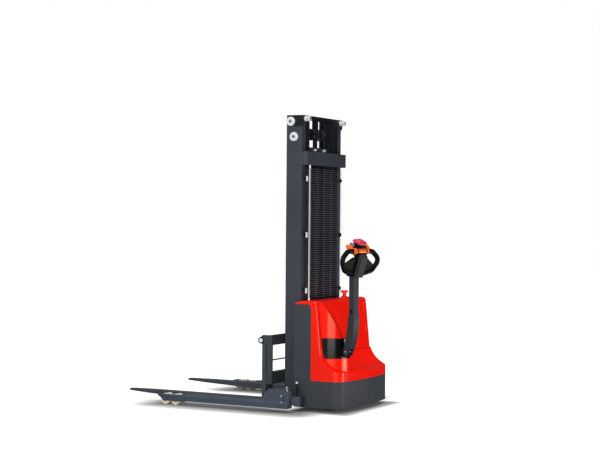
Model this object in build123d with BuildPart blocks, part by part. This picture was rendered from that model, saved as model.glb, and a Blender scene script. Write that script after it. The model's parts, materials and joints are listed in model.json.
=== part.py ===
from build123d import *
import os
from math import cos, radians, sin

# Pedestrian electric stacker with straddle legs, drawn with its forks and mast lowered.
# Sizes are millimetres. X runs forward along the forks, Y to the truck's left, Z up from the floor.

# Clearances
RUN_GAP = 0.3
BORE_GAP = 0.1

# Mast
MAST_HEIGHT = 2080.0
MAST_FOOT = 60.0
MAST_WIDTH = 612.0
MAST_DEPTH = 125.0
CHANNEL_WEB = 10.0
CHANNEL_FLANGE = 50.0
FLANGE_THICK = 14.0
RAIL_GAP = 4.0
RAIL_WIDTH = 60.0
RAIL_WEB = 10.0
RAIL_INSET = 1.0
RAIL_FOOT = 80.0
RAIL_TOP_DROP = 2.0
FOOT_PLATE = 15.0

# Guide rollers of the mast and carriage
ROLLER_GAP = 0.5
ROLLER_WIDTH = 22.0
ROLLER_PIN_RADIUS = 15.0
TOP_ROLLER_DROP = 152.0
FOOT_ROLLER_Z = 150.0
PIN_HEAD_RADIUS = 32.0
PIN_HEAD_PROUD = 12.0

# Top tie, crossbar and guard
TIE_PLATE = 8.0
TIE_BAND = 26.0
EAR_DROP = 79.0
EAR_LENGTH = 110.0
EAR_ROUND = 24.0
EAR_PIN_INSET = 85.0
EAR_PIN_DROP = 44.0
CORNER_BOLT_RADIUS = 20.0
CORNER_BOLT_LENGTH = 42.0
CORNER_BOLT_SHANK = 9.0
CORNER_BOLT_INSET = 30.0
CORNER_BOLT_DROP = 25.0
CROSSBAR_DROP = 352.0
CROSSBAR_HEIGHT = 95.0
CROSSBAR_PLATE = 8.0
CROSSBAR_SET_BACK = 46.0
CROSSBAR_WING = 98.0
CROSSBAR_ROUND = 28.0
CROSSBAR_BEND = 20.0
SHELF_HALF_WIDTH = 150.0
SHELF_UPSTAND = 38.0
MESH_HALF_WIDTH = 295.0
MESH_OVERHANG = 45.0
MESH_FOOT = 785.0
MESH_TOP_GAP = 22.0
MESH_SET_BACK = 28.0
MESH_WIRE = 4.5
MESH_ROWS = 58
MESH_COLUMNS = 4
CLIP_LOW = 53.0
CLIP_MIDDLE = 447.0
CLIP_HIGH = 76.0
CLIP_WIDTH = 20.0
CLIP_HEIGHT = 28.0
CLIP_THICK = 4.0

# Lift gear
CYLINDER_INSET = 57.0
BARREL_RADIUS = 30.0
BARREL_WALL = 6.0
BARREL_DROP = 290.0
GLAND_HEIGHT = 40.0
LIFT_ROD_RADIUS = 17.0
ROD_FOOT_LIFT = 25.0
CROSSHEAD_HEIGHT = 18.0
CROSSHEAD_DEPTH = 64.0
YOKE_HALF_WIDTH = 30.0
YOKE_BELOW = 25.0
YOKE_BOSS_RADIUS = 16.0
YOKE_PIN_HEAD = 5.0
SHEAVE_DROP = 125.0
SHEAVE_SIDE = 70.0
SHEAVE_RADIUS = 38.0
SHEAVE_WIDTH = 30.0
SHEAVE_RIM = 4.0
SHEAVE_PIN_RADIUS = 10.0
CHAIN_WIDTH = 15.0
CHAIN_THICK = 11.0
ANCHOR_LENGTH = 28.0
ANCHOR_RADIUS = 6.0
FOOT_BEAM_HEIGHT = 60.0
FOOT_BEAM_THICK = 13.0
FOOT_BEAM_GAP = 6.5

# Carriage and forks
CARRIAGE_GAP = 15.0
CARRIAGE_SIDE_GAP = 40.0
BAR_THICK = 25.0
END_PLATE_DEPTH = 41.0
END_PLATE_THICK = 14.0
CARRIAGE_FOOT = 183.0
LOWER_BAR_HEIGHT = 82.0
CARRIAGE_TOP = 527.0
UPPER_BAR_HEIGHT = 70.0
EAR_RADIUS = 24.0
SHAFT_RADIUS = 15.0
SHAFT_REACH = 46.0
SHAFT_Z = 489.0
SHAFT_PROUD = 5.0
STAY_RADIUS = 5.0
STAY_Z = 352.0
CARRIAGE_PLATE_THICK = 14.0
CARRIAGE_PLATE_REAR = 30.0
CARRIAGE_ROLLER_HEIGHTS = (240.0, 470.0)
FORK_LENGTH = 1150.0
FORK_LEAD = 15.0
FORK_THICK = 30.0
FORK_WIDTH = 104.0
FORK_TOP = 78.0
FORK_BLADE = 48.0
FORK_TIP_THICK = 12.0
FORK_TIP_WIDTH = 58.0
FORK_TIP_FLAT = 2.0
FORK_TIP_TAPER = 190.0
FORK_BELLY = 320.0
HEEL_RADIUS = 26.0
FORK_EYE_RADIUS = 27.0
FORK_EYE_WIDTH = 96.0

# Straddle legs
LEG_OUTSIDE = 568.0
LEG_WIDTH = 72.0
LEG_FOOT = 32.0
LEG_HEIGHT = 50.0
LEG_CHAMFER = 14.0
LEG_REAR = -38.0
LEG_PLATE_REAR = -104.0
ROLLER_BOX_REAR = 797.0
ROLLER_BOX_FOOT = 28.0
ROLLER_BOX_TOP = 76.0
ROLLER_BOX_WALL = 6.0
ROLLER_SIDE_GAP = 1.0
LOAD_ROLLER_RADIUS = 40.0
LOAD_ROLLER_WIDTH = 68.0
LOAD_ROLLER_EDGE = 3.0
LOAD_ROLLER_FRONT = 964.0
LOAD_ROLLER_PITCH = 88.0
LOAD_AXLE_RADIUS = 10.0
LOAD_AXLE_HEAD = 4.0
LOAD_AXLE_HEAD_RADIUS = 14.0
BOX_NOSE_GAP = 6.0
BOX_NOSE = 13.0
BRACKET_TOP = 150.0
BRACKET_FLAT_FRONT = 138.0
BRACKET_TOE = 183.0
BRACKET_WIDTH = 46.0
BRACKET_PLATE = 10.0
BRACKET_PLATE_REACH = 66.0
CHEEK_THICK = 12.0
CHEEK_TOP = 120.0
CHEEK_REAR = 44.0
SLEEVE_DEPTH = 76.0
SLEEVE_HEIGHT = 62.0
SLEEVE_FOOT = 50.0
SLEEVE_WALL = 8.0
SLEEVE_END_GAP = 6.0
ARM_INSIDE = 150.0
CLAMP_INSET = 46.0
CLAMP_RADIUS = 7.0
CLAMP_TOP = 190.0
CLAMP_HEAD_RADIUS = 11.0
CLAMP_HEAD_HEIGHT = 8.0

# Body: skirt, frame and hood
BODY_HALF = 400.0
SKIRT_FOOT = 30.0
SKIRT_TOP = 218.0
SKIRT_WALL = 12.0
SKIRT_CORNER = 352.0
SKIRT_BOW = 390.0
CORNER_RADIUS = 75.0
COLUMN_DEPTH = 132.0
COLUMN_TOP = 750.0
COLUMN_ROUND = 35.0
BULKHEAD = 12.0
BULKHEAD_TOP = 735.0
DECK_THICK = 12.0
TURRET_HOLE = 125.0
TURRET_WALL = 16.0
TURRET_HEIGHT = 28.0
HOOD_WALL = 5.0
HOOD_TOP = 772.0
HOOD_FRONT = 4.0
HOOD_TOP_REAR = 176.0
HOOD_ROUND = 30.0
HOOD_EDGE = 16.0
BEAK_LENGTH = 49.0
BEAK_DROP = 13.0
PANEL_FOOT = 213.0
PARTING = 402.0
PARTING_STEP = 2.0
FLARE_REACH = 345.0
FLARE_Z = 282.0
LEDGE_DROP = 8.0
FLARE_SAG = 0.62
RECESS_DEPTH = 3.0
RECESS_WIDTH = 290.0
RECESS_HEIGHT = 82.0
RECESS_SIDE = -205.0
RECESS_HEIGHTS = (705.0, 535.0)
RECESS_ROUND = 20.0
TOWER_RADIUS = 140.0
TOWER_MID_RADIUS = 98.0
TOWER_MID_Z = 587.0
TOWER_TOP = 765.0
TOWER_ROOT = 45.0
WINDOW_FOOT = 374.0
WINDOW_TOP = 516.0

# Power pack
BATTERY_DEPTH = 140.0
BATTERY_WIDTH = 400.0
BATTERY_HEIGHT = 420.0
BATTERY_SIDE = -150.0
HYDRAULIC_DEPTH = 80.0
HYDRAULIC_WIDTH = 260.0
HYDRAULIC_FOOT = 515.0
HYDRAULIC_HEIGHT = 160.0
E_STOP_INSET = 98.0
E_STOP_SIDE = -190.0
E_STOP_STEM = 14.5
E_STOP_RADIUS = 27.0
E_STOP_TOP = 826.0
E_STOP_HEAD = 17.0
E_STOP_DEPTH = 40.0

# Steering, drive and castor
STEER_INSET = 205.0
STEER_SIDE = 230.0
STEER_REST = 20.0
DISC_RADIUS = 138.0
DISC_THICK = 16.0
MOTOR_RADIUS = 80.0
MOTOR_TOP = 545.0
DRUM_RADIUS = 136.0
DRUM_WALL = 8.0
DRUM_GAP = 4.0
DRIVE_WHEEL_RADIUS = 105.0
DRIVE_WHEEL_WIDTH = 70.0
DRIVE_TREAD = 22.0
GEARBOX_THICK = 40.0
GEARBOX_LENGTH = 110.0
AXLE_RADIUS = 20.0
WHEEL_SIDE_GAP = 4.0
CASTOR_SIDE = -230.0
CASTOR_TRAIL = 38.0
CASTOR_WHEEL_RADIUS = 62.0
CASTOR_WHEEL_WIDTH = 46.0
CASTOR_FORK_PLATE = 8.0
CASTOR_HEAD_RADIUS = 42.0
CASTOR_HEAD_THICK = 16.0
CASTOR_PIN_RADIUS = 12.0
CASTOR_NUT_HEIGHT = 10.0
CASTOR_NUT_RADIUS = 22.0
CASTOR_AXLE_RADIUS = 8.0

# Tiller
TILT_RADIUS = 172.0
TILT_Z = 425.0
TILT_PIN_RADIUS = 8.0
LUG_RADIUS = 22.0
LUG_WIDTH = 30.0
NECK_WIDTH = 56.0
NECK_TOP = 690.0
NECK_HEEL = 20.0
NECK_BOW = 16.0
NECK_BOW_RISE = 95.0
NECK_BOW_DROP = 140.0
TUBE_RADIUS = 225.0
TUBE_DEPTH = 56.0
TUBE_WIDTH = 52.0
TUBE_CHAMFER = 6.0
TUBE_WALL = 4.0

# Tiller head. Its places are given across the head, up along it and out towards the operator.
HEAD_BASE = 950.0
HEAD_SET_OUT = 17.0
HEAD_LEAN = 21.0
PLATE_BACK = 18.0
PLATE_FRONT = 8.0
HEAD_OUTLINE = ((58.0, 4.0), (128.0, 44.0), (132.0, 90.0), (66.0, 134.0), (38.0, 138.0))
HEAD_SOCKET_RIM = 5.0
HEAD_SOCKET_HEIGHT = 30.0
HEAD_BLOCK_HALF = 36.0
HEAD_BLOCK_FRONT = 12.0
HEAD_BLOCK_ROUND = 18.0
HEAD_BLOCK_STEP = 10.0
HEAD_BLOCK_BACK = 78.0
HEAD_BLOCK_FOOT = 122.0
HEAD_BLOCK_TOP = 207.0
GRIP_RADIUS = 17.5
GRIP_ROOT = 18.0
GRIP_SHOULDER = 118.0
GRIP_ELBOW = (180.0, 126.0, 2.0)
GRIP_KNEE = (132.0, 46.0, 6.0)
GRIP_END = (46.0, 20.0, 0.0)
GRIP_BEND = 44.0
COVER_FOOT = 6.0
COVER_TOP = 166.0
COVER_WIDTH = 64.0
COVER_CROWN = 54.0
COVER_RISE = 33.0
COVER_SLOPE = 16.0
COVER_REST = 152.0
THROTTLE_V = 178.0
THROTTLE_N = -24.0
THROTTLE_INSIDE = 40.0
THROTTLE_OUTSIDE = 52.0
THROTTLE_RING = 23.0
THROTTLE_HUB = 20.5
THROTTLE_HUB_END = 70.0
THROTTLE_BAND = 27.0
THROTTLE_WALL = 5.0
BAND_HALF = 14.0
BAND_RISE = 12.0
GROOVE_WIDTH = 4.0
GROOVE_DEPTH = 2.5
PADDLE_INSIDE = 62.0
PADDLE_OUTSIDE = 98.0
UPPER_VANE = 45.0
UPPER_VANE_ANGLE = 152.0
LOWER_VANE = 20.0
LOWER_VANE_ANGLE = -110.0
VANE_WIDTH = 24.0
POST_HALF_WIDTH = 24.0
POST_BACK = 50.0
POST_FRONT = 34.0
POST_TOP = 230.0
BELLY_WIDTH = 82.0
BELLY_BACK = 84.0
BELLY_FRONT = 26.0
BELLY_FOOT = 217.0
BELLY_SHOULDER = 240.0
BELLY_TOP = 262.0
BELLY_TRAVEL = 7.0
ROCKER_HALF_WIDTH = 58.0
ROCKER_THUMB = 13.0
ROCKER_THUMB_TOP = 219.0
ROCKER_BACK = 70.0
ROCKER_FRONT = 54.0
ROCKER_FOOT = 190.0
ROCKER_HEIGHT = 12.0
ROCKER_GAP = 1.0
ROCKER_SWING = 6.0
ROCKER_PIN_RADIUS = 3.0

# The tiller points back and to the left by the rest steering angle.
BACK_X = -cos(radians(STEER_REST))
BACK_Y = sin(radians(STEER_REST))
LEAN_SIN = sin(radians(HEAD_LEAN))
LEAN_COS = cos(radians(HEAD_LEAN))

# Reach of the forks ahead of the mast's rear face, and of the handle behind it; they centre the truck.
HANDLE_REACH = 548.0
FORK_REACH = MAST_DEPTH + CARRIAGE_GAP + END_PLATE_DEPTH + FORK_LEAD + FORK_THICK + FORK_LENGTH
MAST_BACK = (HANDLE_REACH - FORK_REACH) / 2

# Stations along X
MAST_MID = MAST_BACK + MAST_DEPTH / 2
MAST_FRONT = MAST_BACK + MAST_DEPTH
CYLINDER_X = MAST_BACK + CYLINDER_INSET
CARRIAGE_BACK = MAST_FRONT + CARRIAGE_GAP
CARRIAGE_FRONT = CARRIAGE_BACK + END_PLATE_DEPTH
FORK_BACK = CARRIAGE_FRONT + FORK_LEAD
FORK_FACE = FORK_BACK + FORK_THICK
FORK_TIP = FORK_FACE + FORK_LENGTH
SHAFT_X = CARRIAGE_FRONT + SHAFT_REACH
STEER_X = MAST_BACK - STEER_INSET
SLEEVE_FRONT = MAST_BACK - BULKHEAD
SLEEVE_BACK = SLEEVE_FRONT - SLEEVE_DEPTH
SLEEVE_MID = (SLEEVE_FRONT + SLEEVE_BACK) / 2
HOOD_FACE = MAST_BACK - HOOD_FRONT
COLUMN_BACK = MAST_BACK - COLUMN_DEPTH

# Stations across Y
MAST_HALF = MAST_WIDTH / 2
CHANNEL_INSIDE = MAST_HALF - CHANNEL_WEB
RAIL_OUT = MAST_HALF - CHANNEL_FLANGE - RAIL_GAP
RAIL_IN = RAIL_OUT - RAIL_WIDTH
RAIL_MID = (RAIL_OUT + RAIL_IN) / 2
RAIL_FACE_OUT = RAIL_MID + RAIL_WEB / 2
RAIL_FACE_IN = RAIL_MID - RAIL_WEB / 2
LEG_INSIDE = LEG_OUTSIDE - LEG_WIDTH
LEG_MID = (LEG_OUTSIDE + LEG_INSIDE) / 2
BRACKET_PLATE_INSIDE = LEG_INSIDE - BRACKET_PLATE_REACH
SLEEVE_HALF_LENGTH = LEG_INSIDE - SLEEVE_END_GAP
CLAMP_SIDE = LEG_INSIDE - CLAMP_INSET
CARRIAGE_PLATE_OUT = RAIL_IN - RAIL_GAP
END_PLATE_SIDE = LEG_INSIDE - CARRIAGE_SIDE_GAP
FORK_MID = END_PLATE_SIDE - RUN_GAP - FORK_WIDTH / 2

# Stations up Z and other worked-out sizes
RAIL_TOP = MAST_HEIGHT - RAIL_TOP_DROP
TOP_ROLLER_Z = MAST_HEIGHT - TOP_ROLLER_DROP
CROSSBAR_FOOT = MAST_HEIGHT - CROSSBAR_DROP
MESH_TOP = CROSSBAR_FOOT - MESH_TOP_GAP
BARREL_TOP = MAST_HEIGHT - BARREL_DROP
SHEAVE_Z = MAST_HEIGHT - SHEAVE_DROP
CROSSHEAD_FOOT = RAIL_TOP - CROSSHEAD_HEIGHT
YOKE_FOOT = SHEAVE_Z - YOKE_BELOW
RAIL_DEPTH = MAST_DEPTH - 2 * RAIL_INSET
CHANNEL_ROLLER_RADIUS = (MAST_DEPTH - 2 * FLANGE_THICK) / 2 - ROLLER_GAP
RAIL_ROLLER_RADIUS = (RAIL_DEPTH - 2 * FLANGE_THICK) / 2 - ROLLER_GAP
CHAIN_FRONT_X = CYLINDER_X + SHEAVE_RADIUS
CHAIN_REAR_X = CYLINDER_X - SHEAVE_RADIUS
SHELF_TOP = CROSSBAR_FOOT + CROSSBAR_HEIGHT
ANCHOR_TOP = SHELF_TOP + ANCHOR_LENGTH
LUG_TOP = CARRIAGE_FOOT + LOWER_BAR_HEIGHT
DECK_FOOT = SKIRT_TOP - DECK_THICK
TURRET_TOP = SKIRT_TOP + TURRET_HEIGHT
DISC_FOOT = TURRET_TOP + RUN_GAP
DISC_TOP = DISC_FOOT + DISC_THICK
DRUM_FOOT = WINDOW_FOOT + DRUM_GAP
DRUM_TOP = WINDOW_TOP - DRUM_GAP
SLEEVE_TOP = SLEEVE_FOOT + SLEEVE_HEIGHT
ARM_TOP = SLEEVE_TOP - SLEEVE_WALL - RUN_GAP
LEG_TOP = LEG_FOOT + LEG_HEIGHT

# Planes of the steered parts: back and up, level with the floor, and along the leaning head.
TILLER_SIDE = Plane(origin=(STEER_X, STEER_SIDE, 0), x_dir=(BACK_X, BACK_Y, 0), z_dir=(BACK_Y, -BACK_X, 0))
TILLER_LEVEL = Plane(origin=(STEER_X, STEER_SIDE, 0), x_dir=(BACK_X, BACK_Y, 0), z_dir=(0, 0, 1))
HEAD_RADIUS = TUBE_RADIUS + HEAD_SET_OUT
ROCKER_PIVOT = ROCKER_FOOT + ROCKER_HEIGHT / 2
HEAD_ORIGIN = (STEER_X + BACK_X * HEAD_RADIUS, STEER_SIDE + BACK_Y * HEAD_RADIUS, HEAD_BASE)
HEAD_FACE = Plane(
    origin=HEAD_ORIGIN,
    x_dir=(-BACK_Y, BACK_X, 0),
    z_dir=(BACK_X * LEAN_COS, BACK_Y * LEAN_COS, -LEAN_SIN),
)
HEAD_SIDE = Plane(origin=HEAD_ORIGIN, x_dir=HEAD_FACE.z_dir, z_dir=-HEAD_FACE.x_dir)
STEER_AXIS = Axis((STEER_X, STEER_SIDE, 0), (0, 0, 1))


def side_plane(y):
    """A plane facing the truck's right at side distance y, with X across and Z up."""
    return Plane.XZ.offset(-y)


def block(x, y, z, mode=Mode.ADD):
    """A box between two limits along each axis."""
    with Locations(((x[0] + x[1]) / 2, (y[0] + y[1]) / 2, (z[0] + z[1]) / 2)):
        Box(x[1] - x[0], y[1] - y[0], z[1] - z[0], mode=mode)


def rod_across(x, z, y, radius, mode=Mode.ADD):
    """A round bar across the truck, between two limits along Y."""
    with Locations(Location((x, (y[0] + y[1]) / 2, z), (90, 0, 0))):
        Cylinder(radius, y[1] - y[0], mode=mode)


def rod_up(x, y, z, radius, mode=Mode.ADD):
    """An upright round bar, between two limits along Z."""
    with Locations((x, y, (z[0] + z[1]) / 2)):
        Cylinder(radius, z[1] - z[0], mode=mode)


def rod_along(y, z, x, radius, mode=Mode.ADD):
    """A round bar along the truck, between two limits along X."""
    with Locations(Location(((x[0] + x[1]) / 2, y, z), (0, 90, 0))):
        Cylinder(radius, x[1] - x[0], mode=mode)


def opposite(left):
    """The mirrored piece of the truck's right side."""
    with BuildPart() as right:
        mirror(left.part, about=Plane.XZ)
    return right


# Outer mast channels, open towards the middle
with BuildPart() as outer_channel_left:
    with BuildSketch(Plane.XY.offset(MAST_FOOT)):
        with Locations((MAST_MID, MAST_HALF)):
            Rectangle(MAST_DEPTH, CHANNEL_FLANGE, align=(Align.CENTER, Align.MAX))
        with Locations((MAST_MID, CHANNEL_INSIDE)):
            Rectangle(
                MAST_DEPTH - 2 * FLANGE_THICK,
                CHANNEL_FLANGE,
                align=(Align.CENTER, Align.MAX),
                mode=Mode.SUBTRACT,
            )
    extrude(amount=MAST_HEIGHT - MAST_FOOT)
    rod_across(MAST_MID, TOP_ROLLER_Z, (0, MAST_HALF), ROLLER_PIN_RADIUS + BORE_GAP, Mode.SUBTRACT)
outer_channel_right = opposite(outer_channel_left)

# Mast foot plate, under both channels and the lift cylinder
with BuildPart() as mast_foot:
    block((MAST_BACK, MAST_FRONT), (-MAST_HALF, MAST_HALF), (MAST_FOOT - FOOT_PLATE, MAST_FOOT))

# Top tie: a plate behind the channels with an ear along each side
with BuildPart() as mast_top_tie:
    with BuildSketch(side_plane(MAST_HALF + TIE_PLATE)):
        with BuildLine():
            Polyline(
                (MAST_BACK - TIE_PLATE, MAST_HEIGHT),
                (MAST_BACK - TIE_PLATE, MAST_HEIGHT - EAR_DROP),
                (MAST_BACK + EAR_LENGTH, MAST_HEIGHT - EAR_DROP),
                (MAST_BACK + EAR_LENGTH, MAST_HEIGHT),
                close=True,
            )
        ear = make_face()
        fillet(ear.vertices().group_by(Axis.X)[0].group_by(Axis.Z)[0], EAR_ROUND)
    extrude(amount=TIE_PLATE)
    mirror(about=Plane.XZ)
    block(
        (MAST_BACK - TIE_PLATE, MAST_BACK),
        (-MAST_HALF - TIE_PLATE, MAST_HALF + TIE_PLATE),
        (MAST_HEIGHT - TIE_BAND, MAST_HEIGHT),
    )


def crossbar_plan(inset):
    """The crossbar's outline from above, drawn inside its outer face by the inset."""
    rear = MAST_BACK - CROSSBAR_SET_BACK + inset
    half = MAST_HALF + CROSSBAR_PLATE - inset
    length = CROSSBAR_SET_BACK + CROSSBAR_WING - inset
    with BuildSketch() as plan:
        with Locations((rear, 0)):
            Rectangle(length, 2 * half, align=(Align.MIN, Align.CENTER))
        fillet(plan.vertices().group_by(Axis.X)[0], CROSSBAR_BEND - inset)
    return plan.sketch


# Crossbar: a bent plate behind the mast with wings along its sides and an angled shelf for the chain anchors
with BuildPart() as mast_crossbar:
    with BuildSketch(Plane.XY.offset(CROSSBAR_FOOT)):
        add(crossbar_plan(0))
        add(crossbar_plan(CROSSBAR_PLATE), mode=Mode.SUBTRACT)
    extrude(amount=CROSSBAR_HEIGHT)
    wing_corners = mast_crossbar.edges().filter_by(Axis.Y).group_by(Axis.Z)[0].group_by(Axis.X)[-1]
    fillet(wing_corners, CROSSBAR_ROUND)
    shelf_front = CYLINDER_X - LIFT_ROD_RADIUS - CROSSBAR_PLATE / 2
    block(
        (MAST_BACK - CROSSBAR_SET_BACK + CROSSBAR_PLATE, shelf_front),
        (-SHELF_HALF_WIDTH, SHELF_HALF_WIDTH),
        (SHELF_TOP - CROSSBAR_PLATE, SHELF_TOP),
    )
    block(
        (shelf_front - CROSSBAR_PLATE, shelf_front),
        (-SHELF_HALF_WIDTH, SHELF_HALF_WIDTH),
        (SHELF_TOP, SHELF_TOP + SHELF_UPSTAND),
    )
    for side in (-SHEAVE_SIDE, SHEAVE_SIDE):
        rod_up(CHAIN_REAR_X, side, (CROSSBAR_FOOT, SHELF_TOP), ANCHOR_RADIUS + BORE_GAP, Mode.SUBTRACT)

# Guard mesh: close level wires on a few uprights, with the level wires running past the last upright
MESH_LAST = MESH_HALF_WIDTH - MESH_OVERHANG
COLUMN_PITCH = (2 * MESH_LAST - MESH_WIRE) / MESH_COLUMNS
ROW_PITCH = (MESH_TOP - MESH_FOOT - MESH_WIRE) / MESH_ROWS
with BuildPart() as guard_mesh:
    with BuildSketch(Plane.YZ.offset(MAST_BACK - MESH_SET_BACK)):
        with Locations((0, (MESH_TOP + MESH_FOOT) / 2)):
            Rectangle(2 * MESH_HALF_WIDTH, MESH_TOP - MESH_FOOT)
            with GridLocations(COLUMN_PITCH, ROW_PITCH, MESH_COLUMNS, MESH_ROWS):
                Rectangle(COLUMN_PITCH - MESH_WIRE, ROW_PITCH - MESH_WIRE, mode=Mode.SUBTRACT)
            with GridLocations(MESH_HALF_WIDTH + MESH_LAST, ROW_PITCH, 2, MESH_ROWS):
                Rectangle(MESH_OVERHANG, ROW_PITCH - MESH_WIRE, mode=Mode.SUBTRACT)
    extrude(amount=MESH_WIRE)

# Guard clips: small bent plates from the rear flanges back to the mesh
CLIP_SIDE = MESH_LAST + CLIP_WIDTH / 2
with BuildPart() as guard_clips:
    for clip_z in (MESH_FOOT + CLIP_LOW, MESH_FOOT + CLIP_MIDDLE, MESH_TOP - CLIP_HIGH):
        for side in (-CLIP_SIDE, CLIP_SIDE):
            with Locations((MAST_BACK, side, clip_z)):
                clip_length = MESH_SET_BACK - MESH_WIRE
                Box(CLIP_THICK, CLIP_WIDTH, CLIP_HEIGHT, align=(Align.MAX, Align.CENTER, Align.CENTER))
                Box(clip_length, CLIP_WIDTH, CLIP_THICK, align=(Align.MAX, Align.CENTER, Align.CENTER))
            with Locations((MAST_BACK - clip_length, side, clip_z)):
                Box(CLIP_THICK, CLIP_WIDTH, CLIP_HEIGHT, align=(Align.MIN, Align.CENTER, Align.CENTER))

# Roller pins through the channel webs, with the plain pins that hold the ears
with BuildPart() as roller_pins:
    rod_across(MAST_MID, TOP_ROLLER_Z, (RAIL_FACE_OUT + 2 * RUN_GAP, MAST_HALF), ROLLER_PIN_RADIUS)
    rod_across(MAST_MID, TOP_ROLLER_Z, (MAST_HALF, MAST_HALF + PIN_HEAD_PROUD), PIN_HEAD_RADIUS)
    ear_face = MAST_HALF + TIE_PLATE
    rod_across(
        MAST_BACK + EAR_PIN_INSET,
        MAST_HEIGHT - EAR_PIN_DROP,
        (ear_face, ear_face + PIN_HEAD_PROUD),
        PIN_HEAD_RADIUS,
    )
    mirror(about=Plane.XZ)

# Bolts at the rear top corners and the threaded chain anchors on the crossbar shelf
with BuildPart() as mast_fasteners:
    tie_back = MAST_BACK - TIE_PLATE
    for side in (-1, 1):
        bolt_y = side * (MAST_HALF - CORNER_BOLT_INSET)
        bolt_z = MAST_HEIGHT - CORNER_BOLT_DROP
        with BuildSketch(Plane.YZ.offset(tie_back)):
            with Locations((bolt_y, bolt_z)):
                RegularPolygon(CORNER_BOLT_RADIUS, 6)
        extrude(amount=-CORNER_BOLT_LENGTH / 2)
        rod_along(bolt_y, bolt_z, (tie_back - CORNER_BOLT_LENGTH, tie_back), CORNER_BOLT_SHANK)
        rod_up(
            CHAIN_REAR_X,
            side * SHEAVE_SIDE,
            (SHELF_TOP - CROSSBAR_PLATE - ANCHOR_LENGTH, ANCHOR_TOP),
            ANCHOR_RADIUS,
        )

# Lift cylinder: a barrel with a closed foot and a gland around the rod
with BuildPart() as lift_cylinder:
    rod_up(CYLINDER_X, 0, (MAST_FOOT, BARREL_TOP), BARREL_RADIUS)
    rod_up(
        CYLINDER_X,
        0,
        (MAST_FOOT + BARREL_WALL, BARREL_TOP - GLAND_HEIGHT),
        BARREL_RADIUS - BARREL_WALL,
        Mode.SUBTRACT,
    )
    rod_up(CYLINDER_X, 0, (BARREL_TOP - GLAND_HEIGHT, BARREL_TOP), LIFT_ROD_RADIUS + BORE_GAP, Mode.SUBTRACT)

# Inner mast rails with the stub pins of their foot rollers
FOOT_ROLLER_OUT = CHANNEL_INSIDE - 2 * RUN_GAP
with BuildPart() as inner_rail_left:
    with BuildSketch(Plane.XY.offset(RAIL_FOOT)):
        with Locations((MAST_MID, RAIL_MID)):
            Rectangle(RAIL_DEPTH, RAIL_WIDTH)
            with GridLocations(0, (RAIL_WIDTH + RAIL_WEB) / 2, 1, 2):
                Rectangle(RAIL_DEPTH - 2 * FLANGE_THICK, (RAIL_WIDTH - RAIL_WEB) / 2, mode=Mode.SUBTRACT)
    extrude(amount=RAIL_TOP - RAIL_FOOT)
    rod_across(MAST_MID, FOOT_ROLLER_Z, (RAIL_MID, FOOT_ROLLER_OUT), ROLLER_PIN_RADIUS)
inner_rail_right = opposite(inner_rail_left)

# Crosshead between the rail tops, with a yoke down to the pin that carries a sheave on each end
with BuildPart() as crosshead:
    block(
        (CYLINDER_X - CROSSHEAD_DEPTH / 2, CYLINDER_X + CROSSHEAD_DEPTH / 2),
        (-RAIL_FACE_IN, RAIL_FACE_IN),
        (CROSSHEAD_FOOT, RAIL_TOP),
    )
    block(
        (CYLINDER_X - SHEAVE_PIN_RADIUS, CYLINDER_X + SHEAVE_PIN_RADIUS),
        (-YOKE_HALF_WIDTH, YOKE_HALF_WIDTH),
        (YOKE_FOOT, CROSSHEAD_FOOT),
    )
    boss_end = SHEAVE_SIDE - SHEAVE_WIDTH / 2 - 2 * RUN_GAP
    head_face = SHEAVE_SIDE + SHEAVE_WIDTH / 2 + 2 * RUN_GAP
    rod_across(CYLINDER_X, SHEAVE_Z, (-boss_end, boss_end), YOKE_BOSS_RADIUS)
    rod_across(CYLINDER_X, SHEAVE_Z, (-head_face, head_face), SHEAVE_PIN_RADIUS)
    for face in (-head_face - YOKE_PIN_HEAD, head_face):
        rod_across(CYLINDER_X, SHEAVE_Z, (face, face + YOKE_PIN_HEAD), YOKE_BOSS_RADIUS)

# Cross beam between the rail feet, in front of the cylinder
with BuildPart() as inner_foot_beam:
    beam_back = CYLINDER_X + BARREL_RADIUS + FOOT_BEAM_GAP
    block(
        (beam_back, beam_back + FOOT_BEAM_THICK),
        (-RAIL_FACE_IN, RAIL_FACE_IN),
        (RAIL_FOOT, RAIL_FOOT + FOOT_BEAM_HEIGHT),
    )

# Lift rod, from inside the barrel to the crosshead's yoke
with BuildPart() as lift_rod:
    rod_up(CYLINDER_X, 0, (MAST_FOOT + ROD_FOOT_LIFT, YOKE_FOOT), LIFT_ROD_RADIUS)


def chain_sheave(side):
    """A grooved chain wheel on the yoke's pin."""
    flange = (SHEAVE_WIDTH - CHAIN_WIDTH) / 4
    inside = side - SHEAVE_WIDTH / 2
    outside = side + SHEAVE_WIDTH / 2
    with BuildPart() as sheave:
        rod_across(CYLINDER_X, SHEAVE_Z, (inside, outside), SHEAVE_RADIUS - CHAIN_THICK / 2)
        for face in (inside, outside - flange):
            rod_across(CYLINDER_X, SHEAVE_Z, (face, face + flange), SHEAVE_RADIUS + SHEAVE_RIM)
        rod_across(
            CYLINDER_X,
            SHEAVE_Z,
            (side - SHEAVE_WIDTH, side + SHEAVE_WIDTH),
            SHEAVE_PIN_RADIUS + BORE_GAP,
            Mode.SUBTRACT,
        )
    return sheave


chain_sheave_left = chain_sheave(SHEAVE_SIDE)
chain_sheave_right = chain_sheave(-SHEAVE_SIDE)


def chain_runs(x, foot):
    """Both chains' straight runs, from the sheaves down to their lower ends."""
    with BuildPart() as runs:
        for side in (-SHEAVE_SIDE, SHEAVE_SIDE):
            block(
                (x - CHAIN_THICK / 2, x + CHAIN_THICK / 2),
                (side - CHAIN_WIDTH / 2, side + CHAIN_WIDTH / 2),
                (foot, SHEAVE_Z),
            )
    return runs


chain_front_runs = chain_runs(CHAIN_FRONT_X + RUN_GAP, LUG_TOP)
chain_rear_runs = chain_runs(CHAIN_REAR_X - RUN_GAP, ANCHOR_TOP)


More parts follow.
